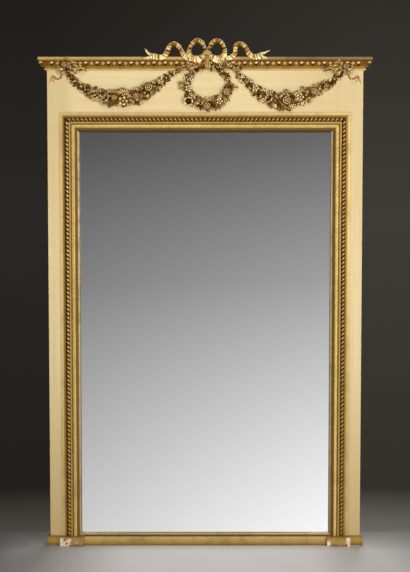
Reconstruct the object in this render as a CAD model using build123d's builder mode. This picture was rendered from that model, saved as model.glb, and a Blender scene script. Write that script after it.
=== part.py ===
from build123d import *
import os

# Overmantel mirror in the French neoclassical manner, in millimetres.
# X runs to the right along the wall, the front faces -Y, the wall is the
# plane Y = 0, and Z = 0 is the surface that the mirror stands on.

os.makedirs("parts", exist_ok=True)

# Casing round the sight opening
sight_width = 981
sight_height = 1585
sight_bottom = 45
stile_width = 108.5
frieze_height = 259
case_depth = 40

# Gilded border round the glass: the moulding, and the slip that shows inside it
border_width = 77
slip_width = 16
slip_depth = 12
slip_show = 9
slip_bevel = 3
slip_edge = 1

# Tenons and pegs of the casing
tenon_thickness = 12
tenon_length = 60
tenon_clearance = 0.15
frieze_tenon_height_share = 0.29
frieze_tenon_pitch_share = 0.48
bottom_tenon_height_share = 0.59
peg_radius = 4
peg_length = 30
peg_clearance = 0.1

# Backboards and their screws
board_count = 6
board_thickness = 8
board_gap = 1
rebate_width = 12
rebate_clearance = 0.5
board_screw_length = 30
board_screw_radius = 1.75
board_screw_head_radius = 3.5
board_screw_head_height = 2.4
board_screw_height_share = 0.3
screw_slot_width = 1
screw_slot_depth = 0.9
screw_clearance = 0.1

# Glass and the blocks that hold it
glass_thickness = 5
glass_side_clearance = 2
setting_block_height = 2
setting_block_length = 60
setting_block_place_share = 0.5
glazing_block_length = 50
glazing_block_size = 12
side_block_count = 4
row_block_count = 3
block_spread_share = 0.8

# Sight moulding section, heights measured from the face of the casing
moulding_edge = 3
moulding_fillet = 9.5
cove_height = 11
cove_bow_share = 0.14
rope_inset = 28
rope_radius = 8
rope_rise = 3
rope_seat = 7
rope_clearance = 0.3
flat_height = 14
flat_width = 6.7
hollow_floor = 9
hollow_bow_share = 0.1
ridge_height = 13
ridge_inset = 12.5
slope_bow_share = 0.08
lip_height = 1.5

# Cornice
cornice_height = 35
bead_height = 9
bead_projection = 9.5
cavetto_height = 7
cavetto_projection = 20
cavetto_bow_share = 0.18
seat_projection = 25
egg_band_thickness = 3
egg_radius = 8.4
egg_count = 30
top_board_thickness = 15
top_board_overhang = 32
top_board_round = 4
top_screw_length = 45
top_screw_radius = 2
top_screw_head_radius = 4
top_screw_head_height = 2.8
top_screw_inset = 25
top_screw_pitch = 250
top_screw_row_count = 3

# Base
base_height = 36
base_rail_projection = 16
base_rail_round = 4
block_lap = 8.5
block_margin = 6
block_projection = 36
block_chamfer = 2
plinth_projection = 12
plinth_side_projection = 10
plinth_chamfer = 5

# Hanging plates let into the back of the stiles
hanger_inset = 48
hanger_drop = 345
hanger_width = 36
hanger_length = 100
hanger_thickness = 3
hanger_clearance = 0.3
hanger_hole_radius = 5
hanger_pocket_radius = 8
hanger_pocket_depth = 12
hanger_screw_pitch_share = 0.72
hanger_screw_length = 25
hanger_screw_radius = 2
hanger_screw_head_radius = 4
hanger_screw_head_height = 2.4

# Crest: a ribbon bow over the middle of the cornice
crest_x = 7
bow_thickness = 12
ribbon_width = 18
ribbon_thickness = 9
loop_rise = 25
loop_gap = 1
loop_half_width = 37
loop_half_height = 47
loop_hole_width_share = 0.68
loop_hole_height_share = 0.44
loop_hole_shift = 1.5
loop_chamfer = 3
knot_rise = 12
knot_half_width = 14
knot_half_height = 17
knot_thickness = 20
knot_chamfer = 6
drop_lap = 3
drop_length = 40
drop_width = 24
wave_lap = 7
wave_span = 132
wave_sink = 4
wave_rise = 54
fork_length = 42
fork_spread = 34
fork_tip = 3

# Wreath, with its heights as shares of the bare field of the frieze
ring_x = 11
ring_drop_share = 0.44
ring_half_width = 98
ring_half_height_share = 0.555
ring_hole_half_width = 62
ring_hole_half_height_share = 0.325
ring_thickness = 14
ring_bloom_count = 13
ring_bloom_start_angle = 130
ring_bloom_sweep_angle = 280
ring_bloom_share = 0.46
bloom_height = 26
bloom_top_share = 0.55
spray_leaf_place = 42
spray_leaf_length = 70
spray_leaf_width = 24
spray_leaf_slope = 8
spray_depth = 46
ornament_clearance = 0.3

# Swags
swag_gap = 97
swag_shift = 3
swag_rise = 15
swag_drop_share = 1
swag_thickness = 14

# Corner sprays and corner ribbons
corner_inset = 75
corner_rise = 21
rosette_radius = 19
corner_leaf_length = 50
corner_leaf_width = 20
corner_depth = 44
corner_ribbon_offset = 9
corner_ribbon_sink = 8
corner_ribbon_width = 6
corner_ribbon_thickness = 5
corner_ribbon_span = 45
corner_ribbon_drop = 38

# Sizes worked out from the ones above
half_sight = sight_width / 2
half_opening = half_sight + slip_width
half_case = half_opening + stile_width
bottom_rail_height = sight_bottom - slip_width
sight_top = sight_bottom + sight_height
frieze_bottom = sight_top + slip_width
case_height = frieze_bottom + frieze_height
tenon_middle_x = half_opening + tenon_length / 2
frieze_middle = frieze_bottom + frieze_height / 2
bottom_middle = bottom_rail_height / 2
frieze_tenon_height = frieze_tenon_height_share * frieze_height
frieze_tenon_reach = frieze_tenon_pitch_share * frieze_height / 2
frieze_tenon_places = [frieze_middle - frieze_tenon_reach, frieze_middle + frieze_tenon_reach]
bottom_tenon_height = bottom_tenon_height_share * bottom_rail_height
border_outer = half_sight + border_width
border_top = sight_top + border_width
moulding_width = border_width - slip_show
slip_back = case_depth - slip_depth
glass_back = slip_back - glass_thickness
cornice_bottom = case_height - cornice_height
top_board_top = case_height + top_board_thickness
board_span = 2 * (half_opening + rebate_width - rebate_clearance)
board_field_bottom = bottom_rail_height - rebate_width
board_field_top = frieze_bottom + rebate_width
board_height = (board_field_top - board_field_bottom - (board_count + 1) * board_gap) / board_count
board_field_middle = (board_field_bottom + board_field_top) / 2
hanger_x = half_case - hanger_inset
hanger_height = case_height - hanger_drop
hanger_screw_reach = hanger_screw_pitch_share * hanger_length / 2
field_height = cornice_bottom - border_top
corner_x = half_case - corner_inset
corner_height = cornice_bottom + corner_rise
front = Plane.XZ.offset(case_depth)
crest_plane = Plane.XZ.offset(case_depth + top_board_overhang)


def save(piece, name):
    """Label a finished piece and write it to its file."""
    piece.part.label = name
    export_step(piece.part, f"parts/{name}.step")


def board_screw_places(index):
    """X and Z of the four screws of one backboard, counted from the floor up."""
    middle = board_field_bottom + board_gap + board_height / 2 + index * (board_height + board_gap)
    reach = half_opening + rebate_width / 2
    rise = board_height * board_screw_height_share
    return [(x, middle + z) for x in (-reach, reach) for z in (-rise, rise)]


def hanger_screw_places(side):
    """X and Z of the two screws of one hanging plate."""
    return [(side * hanger_x, hanger_height + step * hanger_screw_reach) for step in (-1, 1)]


all_board_screws = [place for index in range(board_count) for place in board_screw_places(index)]
row_screw_places = [(top_screw_pitch * (index - (top_screw_row_count - 1) / 2), -case_depth / 2)
                    for index in range(top_screw_row_count)]
stile_screw_reach = half_case - top_screw_inset
top_screw_places = row_screw_places + [(side * stile_screw_reach, -case_depth / 2) for side in (-1, 1)]


# Stiles: the two uprights, rebated at the back for the boards, mortised for
# both rails, and cut at the back for a hanging plate.
def build_stile(side):
    with BuildPart() as stile:
        with BuildSketch(Plane.XY):
            with Locations((side * (half_opening + stile_width / 2), -case_depth / 2)):
                Rectangle(stile_width, case_depth)
        extrude(amount=case_height)
        with BuildSketch(Plane.XZ):
            with Locations((side * (half_opening + rebate_width / 2), board_field_middle)):
                Rectangle(rebate_width, board_field_top - board_field_bottom)
        extrude(amount=board_thickness, mode=Mode.SUBTRACT)
        with BuildSketch(Plane.YZ.offset(side * half_opening)):
            with Locations(*[(-case_depth / 2, z) for z in frieze_tenon_places]):
                Rectangle(tenon_thickness + 2 * tenon_clearance, frieze_tenon_height + 2 * tenon_clearance)
            with Locations((-case_depth / 2, bottom_middle)):
                Rectangle(tenon_thickness + 2 * tenon_clearance, bottom_tenon_height + 2 * tenon_clearance)
        extrude(amount=side * (tenon_length + tenon_clearance), mode=Mode.SUBTRACT)
        with BuildSketch(Plane.XZ):
            with Locations(*[(side * tenon_middle_x, z) for z in frieze_tenon_places + [bottom_middle]]):
                Circle(peg_radius + peg_clearance)
        extrude(amount=peg_length, mode=Mode.SUBTRACT)
        with BuildSketch(Plane.XZ):
            with Locations(*[place for place in all_board_screws if place[0] * side > 0]):
                Circle(board_screw_radius + screw_clearance)
        extrude(amount=board_screw_length, mode=Mode.SUBTRACT)
        with BuildSketch(Plane.XZ):
            with Locations((side * hanger_x, hanger_height)):
                Rectangle(hanger_width + 2 * hanger_clearance, hanger_length + 2 * hanger_clearance)
        extrude(amount=hanger_thickness, mode=Mode.SUBTRACT)
        with BuildSketch(Plane.XZ):
            with Locations((side * hanger_x, hanger_height)):
                Circle(hanger_pocket_radius)
        extrude(amount=hanger_thickness + hanger_pocket_depth, mode=Mode.SUBTRACT)
        with BuildSketch(Plane.XZ):
            with Locations(*hanger_screw_places(side)):
                Circle(hanger_screw_radius + screw_clearance)
        extrude(amount=hanger_screw_length, mode=Mode.SUBTRACT)
        with BuildSketch(Plane.XY.offset(case_height)):
            with Locations((side * stile_screw_reach, -case_depth / 2)):
                Circle(top_screw_radius + screw_clearance)
        extrude(amount=top_board_thickness - top_screw_length, mode=Mode.SUBTRACT)
    return stile


save(build_stile(-1), "left_stile")
save(build_stile(1), "right_stile")


# Rails: each has tenons at both ends, with holes for the pegs.
def cut_peg_holes(places):
    """Holes for the pegs through both tenons of the present rail."""
    with BuildSketch(Plane.XZ) as holes:
        with Locations(*[(side * tenon_middle_x, z) for side in (-1, 1) for z in places]):
            Circle(peg_radius + peg_clearance)
    extrude(holes.sketch, amount=peg_length, mode=Mode.SUBTRACT)


with BuildPart() as frieze_rail:
    with BuildSketch(Plane.XY.offset(frieze_bottom)):
        with Locations((0, -case_depth / 2)):
            Rectangle(2 * half_opening, case_depth)
    extrude(amount=frieze_height)
    with BuildSketch(Plane.YZ.offset(-half_opening - tenon_length)):
        with Locations(*[(-case_depth / 2, z) for z in frieze_tenon_places]):
            Rectangle(tenon_thickness, frieze_tenon_height)
    extrude(amount=2 * (half_opening + tenon_length))
    with BuildSketch(Plane.XZ):
        with Locations((0, frieze_bottom + rebate_width / 2)):
            Rectangle(2 * half_opening, rebate_width)
    extrude(amount=board_thickness, mode=Mode.SUBTRACT)
    cut_peg_holes(frieze_tenon_places)
    with BuildSketch(Plane.XY.offset(case_height)):
        with Locations(*row_screw_places):
            Circle(top_screw_radius + screw_clearance)
    extrude(amount=top_board_thickness - top_screw_length, mode=Mode.SUBTRACT)
save(frieze_rail, "frieze_rail")

with BuildPart() as bottom_rail:
    with BuildSketch(Plane.XY):
        with Locations((0, -case_depth / 2)):
            Rectangle(2 * half_opening, case_depth)
    extrude(amount=bottom_rail_height)
    with BuildSketch(Plane.YZ.offset(-half_opening - tenon_length)):
        with Locations((-case_depth / 2, bottom_middle)):
            Rectangle(tenon_thickness, bottom_tenon_height)
    extrude(amount=2 * (half_opening + tenon_length))
    with BuildSketch(Plane.XZ):
        with Locations((0, bottom_rail_height - rebate_width / 2)):
            Rectangle(2 * half_opening, rebate_width)
    extrude(amount=board_thickness, mode=Mode.SUBTRACT)
    cut_peg_holes([bottom_middle])
save(bottom_rail, "bottom_rail")

with BuildPart() as joint_pegs:
    with BuildSketch(Plane.XZ):
        with Locations(*[(side * tenon_middle_x, z)
                         for side in (-1, 1) for z in frieze_tenon_places + [bottom_middle]]):
            Circle(peg_radius)
    extrude(amount=peg_length)
save(joint_pegs, "joint_pegs")


def add_screws(plane, places, radius, head_radius, head_height, length):
    """Countersunk wood screws, each with a slot, driven in along the plane's normal."""
    with BuildSketch(plane) as shanks:
        with Locations(*places):
            Circle(radius)
    extrude(shanks.sketch, amount=length)
    with Locations(plane):
        with Locations(*places):
            Cone(head_radius, radius, head_height, align=(Align.CENTER, Align.CENTER, Align.MIN))
    with BuildSketch(plane) as slots:
        with Locations(*places):
            Rectangle(2 * head_radius, screw_slot_width)
    extrude(slots.sketch, amount=screw_slot_depth, mode=Mode.SUBTRACT)


def cut_screw_holes(plane, places, radius, head_radius, head_height, depth):
    """Countersunk holes through the present piece for such screws."""
    with BuildSketch(plane) as holes:
        with Locations(*places):
            Circle(radius + screw_clearance)
    extrude(holes.sketch, amount=depth, mode=Mode.SUBTRACT)
    with Locations(plane):
        with Locations(*places):
            Cone(head_radius + screw_clearance, radius + screw_clearance, head_height + screw_clearance,
                 align=(Align.CENTER, Align.CENTER, Align.MIN), mode=Mode.SUBTRACT)


# Backboards: six thin boards laid across the back.
for index in range(board_count):
    with BuildPart() as backboard:
        with BuildSketch(Plane.XZ):
            middle = board_field_bottom + board_gap + board_height / 2 + index * (board_height + board_gap)
            with Locations((0, middle)):
                Rectangle(board_span, board_height)
        extrude(amount=board_thickness)
        cut_screw_holes(Plane.XZ, board_screw_places(index), board_screw_radius,
                        board_screw_head_radius, board_screw_head_height, board_thickness)
    save(backboard, f"backboard_{index + 1}")

with BuildPart() as backboard_screws:
    add_screws(Plane.XZ, all_board_screws, board_screw_radius,
               board_screw_head_radius, board_screw_head_height, board_screw_length)
save(backboard_screws, "backboard_screws")


# Hanging plates: steel plates with one round hole over a pocket in the stile.
for side, name in ((-1, "hanging_plate_left"), (1, "hanging_plate_right")):
    with BuildPart() as hanging_plate:
        with BuildSketch(Plane.XZ):
            with Locations((side * hanger_x, hanger_height)):
                Rectangle(hanger_width, hanger_length)
                Circle(hanger_hole_radius, mode=Mode.SUBTRACT)
        extrude(amount=hanger_thickness)
        cut_screw_holes(Plane.XZ, hanger_screw_places(side), hanger_screw_radius,
                        hanger_screw_head_radius, hanger_screw_head_height, hanger_thickness)
    save(hanging_plate, name)

with BuildPart() as hanging_plate_screws:
    add_screws(Plane.XZ, hanger_screw_places(-1) + hanger_screw_places(1), hanger_screw_radius,
               hanger_screw_head_radius, hanger_screw_head_height, hanger_screw_length)
save(hanging_plate_screws, "hanging_plate_screws")


# Glass: one plate that stands on two packers and is held by blocks behind it.
glass_bottom = bottom_rail_height + setting_block_height
glass_top = frieze_bottom - glass_side_clearance
glass_half_width = half_opening - glass_side_clearance
with BuildPart() as mirror_glass:
    with BuildSketch(Plane.XZ.offset(glass_back)):
        with Locations((0, (glass_bottom + glass_top) / 2)):
            Rectangle(2 * glass_half_width, glass_top - glass_bottom)
    extrude(amount=glass_thickness)
save(mirror_glass, "mirror_glass")

setting_block_x = setting_block_place_share * half_opening
setting_block_z = bottom_rail_height + setting_block_height / 2
with BuildPart() as setting_blocks:
    with BuildSketch(Plane.XZ.offset(glass_back)):
        with Locations((-setting_block_x, setting_block_z), (setting_block_x, setting_block_z)):
            Rectangle(setting_block_length, setting_block_height)
    extrude(amount=glass_thickness)
save(setting_blocks, "setting_blocks")

block_inset = glazing_block_size / 2
side_block_pitch = block_spread_share * (frieze_bottom - bottom_rail_height) / (side_block_count - 1)
row_block_pitch = block_spread_share * 2 * half_opening / (row_block_count - 1)
opening_middle = (bottom_rail_height + frieze_bottom) / 2
with BuildPart() as glazing_blocks:
    with BuildSketch(Plane.XZ.offset(glass_back - glazing_block_size)):
        with Locations((-half_opening + block_inset, opening_middle),
                       (half_opening - block_inset, opening_middle)):
            with GridLocations(0, side_block_pitch, 1, side_block_count):
                Rectangle(glazing_block_size, glazing_block_length)
        with Locations((0, bottom_rail_height + block_inset), (0, frieze_bottom - block_inset)):
            with GridLocations(row_block_pitch, 0, row_block_count, 1):
                Rectangle(glazing_block_length, glazing_block_size)
    extrude(amount=glazing_block_size)
save(glazing_blocks, "glazing_blocks")


# Members of the border round the glass. Each has its section on a plane whose
# x runs inward from the outer edge and whose y stands off the casing, and is
# cut to a mitre at the corners.
border_bottom = sight_bottom - border_width
side_member_length = border_top - base_height
left_plane = Plane(origin=(-border_outer, -case_depth, border_top), x_dir=(1, 0, 0), z_dir=(0, 0, -1))
right_plane = Plane(origin=(border_outer, -case_depth, base_height), x_dir=(-1, 0, 0), z_dir=(0, 0, 1))
right_slip_plane = Plane(origin=(border_outer, -case_depth, border_bottom),
                         x_dir=(-1, 0, 0), z_dir=(0, 0, 1))
top_plane = Plane(origin=(border_outer, -case_depth, border_top), x_dir=(0, 0, -1), z_dir=(-1, 0, 0))
bottom_plane = Plane(origin=(-border_outer, -case_depth, border_bottom), x_dir=(0, 0, 1), z_dir=(1, 0, 0))


def cut_mitre(side, level, keep):
    """Cut the present member along the mitre of one corner of the border."""
    lean = side if level == border_bottom else -side
    split(bisect_by=Plane(origin=(side * border_outer, 0, level), z_dir=(lean, 0, 1)), keep=keep)


def bowed(start, end, share):
    """Middle point of an arc that bows to the left of start to end by a share of its chord."""
    across = end[0] - start[0]
    along = end[1] - start[1]
    return ((start[0] + end[0]) / 2 - share * along, (start[1] + end[1]) / 2 + share * across)


def moulding_section():
    """Cove, channel for the rope, flat, hollow, ridge and slope, from the outer edge inward."""
    channel_start = rope_inset - rope_radius - rope_clearance
    channel_end = rope_inset + rope_radius + rope_clearance
    hollow_start = channel_end + flat_width
    ridge = moulding_width - ridge_inset
    cove = ((moulding_fillet, moulding_edge), (channel_start, cove_height))
    hollow = ((hollow_start, hollow_floor), (ridge, ridge_height))
    slope = ((ridge, ridge_height), (moulding_width, lip_height))
    with BuildLine() as outline:
        Polyline((moulding_width, lip_height), (moulding_width, 0), (0, 0), (0, moulding_edge), cove[0])
        ThreePointArc(cove[0], bowed(*cove, -cove_bow_share), cove[1])
        Polyline(cove[1], (channel_start, rope_seat), (channel_end, rope_seat), (channel_end, flat_height),
                 (hollow_start, flat_height), hollow[0])
        ThreePointArc(hollow[0], bowed(*hollow, -hollow_bow_share), hollow[1])
        ThreePointArc(slope[0], bowed(*slope, slope_bow_share), slope[1])
    make_face(outline.edges())


def rope_section():
    """A round rope cut flat where it lies in its channel."""
    with Locations((rope_inset, rope_seat + rope_rise)):
        Circle(rope_radius)
    with Locations((rope_inset, rope_seat - rope_radius)):
        Rectangle(2 * rope_radius, 2 * rope_radius, mode=Mode.SUBTRACT)


def slip_section():
    """A batten whose face falls a little towards the glass."""
    hidden_edge = border_width - slip_width
    with BuildLine() as outline:
        Polyline((hidden_edge, -slip_depth), (border_width, -slip_depth),
                 (border_width, -slip_bevel - slip_edge), (border_width - slip_edge, -slip_bevel),
                 (moulding_width, 0), (hidden_edge, 0), close=True)
    make_face(outline.edges())


for section, family in ((moulding_section, "sight_moulding"), (rope_section, "rope")):
    with BuildPart() as left_member:
        with BuildSketch(left_plane):
            section()
        extrude(amount=side_member_length)
        cut_mitre(-1, border_top, Keep.BOTTOM)
    save(left_member, f"{family}_left")
    with BuildPart() as right_member:
        with BuildSketch(right_plane):
            section()
        extrude(amount=side_member_length)
        cut_mitre(1, border_top, Keep.BOTTOM)
    save(right_member, f"{family}_right")
    with BuildPart() as top_member:
        with BuildSketch(top_plane):
            section()
        extrude(amount=2 * border_outer)
        cut_mitre(-1, border_top, Keep.TOP)
        cut_mitre(1, border_top, Keep.TOP)
    save(top_member, f"{family}_top")

for plane, side, name in ((left_plane, -1, "sight_slip_left"), (right_slip_plane, 1, "sight_slip_right")):
    with BuildPart() as side_slip:
        with BuildSketch(plane):
            slip_section()
        extrude(amount=border_top - border_bottom)
        cut_mitre(side, border_top, Keep.BOTTOM)
        cut_mitre(side, border_bottom, Keep.TOP)
    save(side_slip, name)

for plane, level, keep, name in ((top_plane, border_top, Keep.TOP, "sight_slip_top"),
                                 (bottom_plane, border_bottom, Keep.BOTTOM, "sight_slip_bottom")):
    with BuildPart() as cross_slip:
        with BuildSketch(plane):
            slip_section()
        extrude(amount=2 * border_outer)
        cut_mitre(-1, level, keep)
        cut_mitre(1, level, keep)
    save(cross_slip, name)


# Base: a rail between two blocks that break forward, and an L-shaped plinth
# round the foot of each stile.
block_inner = half_sight - block_lap
block_outer = border_outer + block_margin
block_width = block_outer - block_inner
plinth_side = half_case + plinth_side_projection
plinth_front = case_depth + plinth_projection
with BuildPart() as base_rail:
    with BuildSketch(Plane.XY):
        with Locations((0, -case_depth - base_rail_projection / 2)):
            Rectangle(2 * block_inner, base_rail_projection)
    extrude(amount=base_height)
    fillet(base_rail.edges().filter_by(Axis.X).group_by(Axis.Z)[-1].sort_by(Axis.Y)[0], base_rail_round)
save(base_rail, "base_rail")

for side, name in ((-1, "left"), (1, "right")):
    with BuildPart() as base_block:
        with BuildSketch(Plane.XY):
            with Locations((side * (block_inner + block_width / 2), -case_depth - block_projection / 2)):
                Rectangle(block_width, block_projection)
        extrude(amount=base_height)
        chamfer(base_block.edges().filter_by(Axis.X).group_by(Axis.Z)[-1].sort_by(Axis.Y)[0], block_chamfer)
    save(base_block, f"base_block_{name}")

    with BuildPart() as plinth_block:
        with BuildSketch(Plane.XY):
            with BuildLine():
                Polyline((side * block_outer, -case_depth), (side * half_case, -case_depth),
                         (side * half_case, 0), (side * plinth_side, 0),
                         (side * plinth_side, -plinth_front), (side * block_outer, -plinth_front),
                         close=True)
            make_face()
        extrude(amount=base_height)
        outer_top = plinth_block.edges().group_by(Axis.Z)[-1]
        chamfer([outer_top.filter_by(Axis.X).sort_by(Axis.Y)[0],
                 outer_top.filter_by(Axis.Y).sort_by(Axis.X)[-1 if side > 0 else 0]], plinth_chamfer)
    save(plinth_block, f"plinth_block_{name}")


# Cornice: a moulding on the front and both sides of the casing, mitred, with
# a band of eggs on its sloping seat and a flat board over all.
cornice_reach = case_depth + 2 * top_board_overhang
front_cornice_plane = Plane(origin=(half_case + cornice_reach, -case_depth, 0),
                            x_dir=(0, -1, 0), z_dir=(-1, 0, 0))
left_cornice_plane = Plane(origin=(-half_case, -cornice_reach, 0), x_dir=(-1, 0, 0), z_dir=(0, 1, 0))
right_cornice_plane = Plane(origin=(half_case, 0, 0), x_dir=(1, 0, 0), z_dir=(0, -1, 0))
cavetto_bottom = cornice_bottom + bead_height
seat_bottom = cavetto_bottom + cavetto_height
seat_middle = ((cavetto_projection + seat_projection) / 2, (seat_bottom + case_height) / 2)
seat_rise = case_height - seat_bottom
seat_lean = seat_projection - cavetto_projection
egg_reach = half_case + seat_middle[0]
egg_pitch = 2 * egg_reach / (egg_count - 1)


def cut_cornice_mitre(side, keep):
    """Cut along the upright mitre plane at one front corner of the casing."""
    split(bisect_by=Plane(origin=(side * half_case, -case_depth, 0), z_dir=(-side, -1, 0)), keep=keep)


def cornice_section():
    """Bead, cavetto and sloping seat, standing off the casing."""
    cavetto = ((bead_projection - bead_height / 2, cavetto_bottom), (cavetto_projection, seat_bottom))
    bead_start = (bead_projection - bead_height / 2, cornice_bottom)
    with BuildLine() as outline:
        Polyline(cavetto[1], (seat_projection, case_height), (0, case_height),
                 (0, cornice_bottom), bead_start)
        ThreePointArc(bead_start, (bead_projection, cornice_bottom + bead_height / 2), cavetto[0])
        ThreePointArc(cavetto[0], bowed(*cavetto, cavetto_bow_share), cavetto[1])
    make_face(outline.edges())


def egg_band_section():
    """The strip under the eggs, flat on the seat."""
    with BuildLine() as outline:
        Polyline((cavetto_projection, seat_bottom), (seat_projection, case_height),
                 (seat_projection + egg_band_thickness, case_height),
                 (cavetto_projection + egg_band_thickness, seat_bottom), close=True)
    make_face(outline.edges())


with BuildPart() as cornice_front:
    with BuildSketch(front_cornice_plane):
        cornice_section()
    extrude(amount=2 * (half_case + cornice_reach))
    cut_cornice_mitre(-1, Keep.TOP)
    cut_cornice_mitre(1, Keep.TOP)
save(cornice_front, "cornice_front")

front_egg_y = -case_depth - seat_middle[0]
front_egg_places = [(-egg_reach + index * egg_pitch, front_egg_y, seat_middle[1])
                    for index in range(egg_count)]
with BuildPart() as egg_band_front:
    with BuildSketch(front_cornice_plane):
        egg_band_section()
    extrude(amount=2 * (half_case + cornice_reach))
    with Locations(*front_egg_places):
        Sphere(egg_radius)
    split(bisect_by=Plane(origin=(0, front_egg_y, seat_middle[1]), z_dir=(0, -seat_rise, -seat_lean)),
          keep=Keep.TOP)
    cut_cornice_mitre(-1, Keep.TOP)
    cut_cornice_mitre(1, Keep.TOP)
save(egg_band_front, "egg_band_front")

for side, plane, name in ((-1, left_cornice_plane, "left"), (1, right_cornice_plane, "right")):
    with BuildPart() as cornice_return:
        with BuildSketch(plane):
            cornice_section()
        extrude(amount=cornice_reach)
        cut_cornice_mitre(side, Keep.BOTTOM)
    save(cornice_return, f"cornice_{name}_return")

    with BuildPart() as egg_band_side:
        with BuildSketch(plane):
            egg_band_section()
        extrude(amount=cornice_reach)
        with Locations((side * egg_reach, front_egg_y, seat_middle[1]),
                       (side * egg_reach, front_egg_y + egg_pitch, seat_middle[1])):
            Sphere(egg_radius, rotation=(0, 0, 90 + 90 * side))
        split(bisect_by=Plane(origin=(side * egg_reach, 0, seat_middle[1]),
                              z_dir=(side * seat_rise, 0, -seat_lean)), keep=Keep.TOP)
        cut_cornice_mitre(side, Keep.BOTTOM)
    save(egg_band_side, f"egg_band_{name}")

with BuildPart() as cornice_top_board:
    with BuildSketch(Plane.XY.offset(case_height)):
        with Locations((0, -(case_depth + top_board_overhang) / 2)):
            Rectangle(2 * (half_case + top_board_overhang), case_depth + top_board_overhang)
    extrude(amount=top_board_thickness)
    upper_edges = cornice_top_board.edges().group_by(Axis.Z)[-1]
    front_edge = upper_edges.filter_by(Axis.X).sort_by(Axis.Y)[0]
    fillet([front_edge] + upper_edges.filter_by(Axis.Y), top_board_round)
    cut_screw_holes(Plane(origin=(0, 0, top_board_top), x_dir=(1, 0, 0), z_dir=(0, 0, -1)),
                    [(x, -y) for x, y in top_screw_places], top_screw_radius,
                    top_screw_head_radius, top_screw_head_height, top_board_thickness)
save(cornice_top_board, "cornice_top_board")

with BuildPart() as top_board_screws:
    add_screws(Plane(origin=(0, 0, top_board_top), x_dir=(1, 0, 0), z_dir=(0, 0, -1)),
               [(x, -y) for x, y in top_screw_places], top_screw_radius,
               top_screw_head_radius, top_screw_head_height, top_screw_length)
save(top_board_screws, "top_board_screws")


# Space that the cornice takes, with a small clearance, which the cast
# ornaments are cut back from where they pass over it.
egg_front = seat_middle[0] + egg_radius + ornament_clearance
bead_front = bead_projection + ornament_clearance
board_front = top_board_overhang + ornament_clearance
with BuildPart() as cornice_space:
    with BuildSketch(front_cornice_plane):
        with BuildLine():
            Polyline((0, cornice_bottom - ornament_clearance),
                     (bead_front, cornice_bottom - ornament_clearance),
                     (bead_front, cavetto_bottom), (egg_front, seat_bottom),
                     (egg_front, case_height - ornament_clearance),
                     (board_front, case_height - ornament_clearance),
                     (board_front, 2 * case_height), (0, 2 * case_height), close=True)
        make_face()
    extrude(amount=2 * (half_case + cornice_reach))


# Bow: two loops and two ribbon tails on the edge of the top board, with a
# knot and a short drop between them.
loop_centre = loop_half_width + loop_gap
loop_height = top_board_top + loop_rise
knot_height = top_board_top + knot_rise
drop_top = knot_height - knot_half_height + drop_lap
wave_start = loop_centre + loop_half_width - wave_lap
wave_foot = top_board_top - wave_sink
wave_shares = [(0, 0), (0.17, 0.1), (0.24, 0.55), (0.42, 1), (0.6, 0.55), (0.68, 0.1),
               (0.82, -0.02), (1, 0.18)]


def knot_outline(grow):
    """The knot seen from the front, grown by a clearance."""
    with Locations((crest_x, knot_height)):
        Ellipse(knot_half_width + grow, knot_half_height + grow)
    with Locations((crest_x, drop_top - drop_length / 2)):
        Ellipse(drop_width / 2 + grow, drop_length / 2 + grow)


with BuildPart() as bow_knot:
    with BuildSketch(crest_plane):
        with Locations((crest_x, knot_height)):
            Ellipse(knot_half_width, knot_half_height)
    extrude(amount=knot_thickness)
    chamfer(bow_knot.faces().sort_by(Axis.Y)[0].edges(), knot_chamfer)
    with BuildSketch(crest_plane):
        knot_outline(0)
    extrude(amount=bow_thickness)
save(bow_knot, "bow_knot")

for side, name in ((-1, "left"), (1, "right")):
    loop_x = crest_x + side * loop_centre
    with BuildPart() as bow_loop:
        with BuildSketch(crest_plane):
            with Locations((loop_x, loop_height)):
                Ellipse(loop_half_width, loop_half_height)
            with Locations((loop_x + side * loop_hole_shift, loop_height + loop_hole_shift)):
                Ellipse(loop_hole_width_share * loop_half_width, loop_hole_height_share * loop_half_height,
                        mode=Mode.SUBTRACT)
        extrude(amount=bow_thickness)
        chamfer(bow_loop.faces().sort_by(Axis.Y)[0].edges(), loop_chamfer)
        with BuildSketch(crest_plane):
            knot_outline(ornament_clearance)
        extrude(amount=bow_thickness, mode=Mode.SUBTRACT)
    save(bow_loop, f"bow_loop_{name}")

    wave_x = crest_x + side * wave_start
    with BuildPart() as ribbon_tail:
        with BuildSketch(crest_plane):
            with BuildLine() as wave:
                Spline(*[(wave_x + side * along * wave_span, wave_foot + up * wave_rise)
                         for along, up in wave_shares])
            trace(wave.line, line_width=ribbon_width)
            fork_x = wave_x + side * wave_span
            fork_z = wave_foot + wave_shares[-1][1] * wave_rise
            with BuildLine():
                Polyline((fork_x - side * fork_tip, fork_z - ribbon_width / 2),
                         (fork_x + side * fork_length, fork_z - fork_spread / 2),
                         (fork_x + side * fork_length / 2, fork_z),
                         (fork_x + side * fork_length, fork_z + fork_spread / 2),
                         (fork_x - side * fork_tip, fork_z + ribbon_width / 2), close=True)
            make_face()
        extrude(amount=ribbon_thickness)
        with BuildSketch(crest_plane):
            with Locations((loop_x, loop_height)):
                Ellipse(loop_half_width + ornament_clearance, loop_half_height + ornament_clearance)
        extrude(amount=ribbon_thickness, mode=Mode.SUBTRACT)
    save(ribbon_tail, f"ribbon_tail_{name}")


# Blooms of the garlands: each a short cone that stands off the frieze.
ring_height = cornice_bottom - ring_drop_share * field_height
ring_half_height = ring_half_height_share * field_height
ring_hole_half_height = ring_hole_half_height_share * field_height
ring_hole_height = cornice_bottom - ring_hole_half_height
ring_bloom_pitch_angle = ring_bloom_sweep_angle / (ring_bloom_count - 1)


def add_bloom(x, z, radius):
    with Locations((x, -case_depth, z)):
        Cone(radius, radius * bloom_top_share, bloom_height, rotation=(90, 0, 0),
             align=(Align.CENTER, Align.CENTER, Align.MIN))


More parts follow.
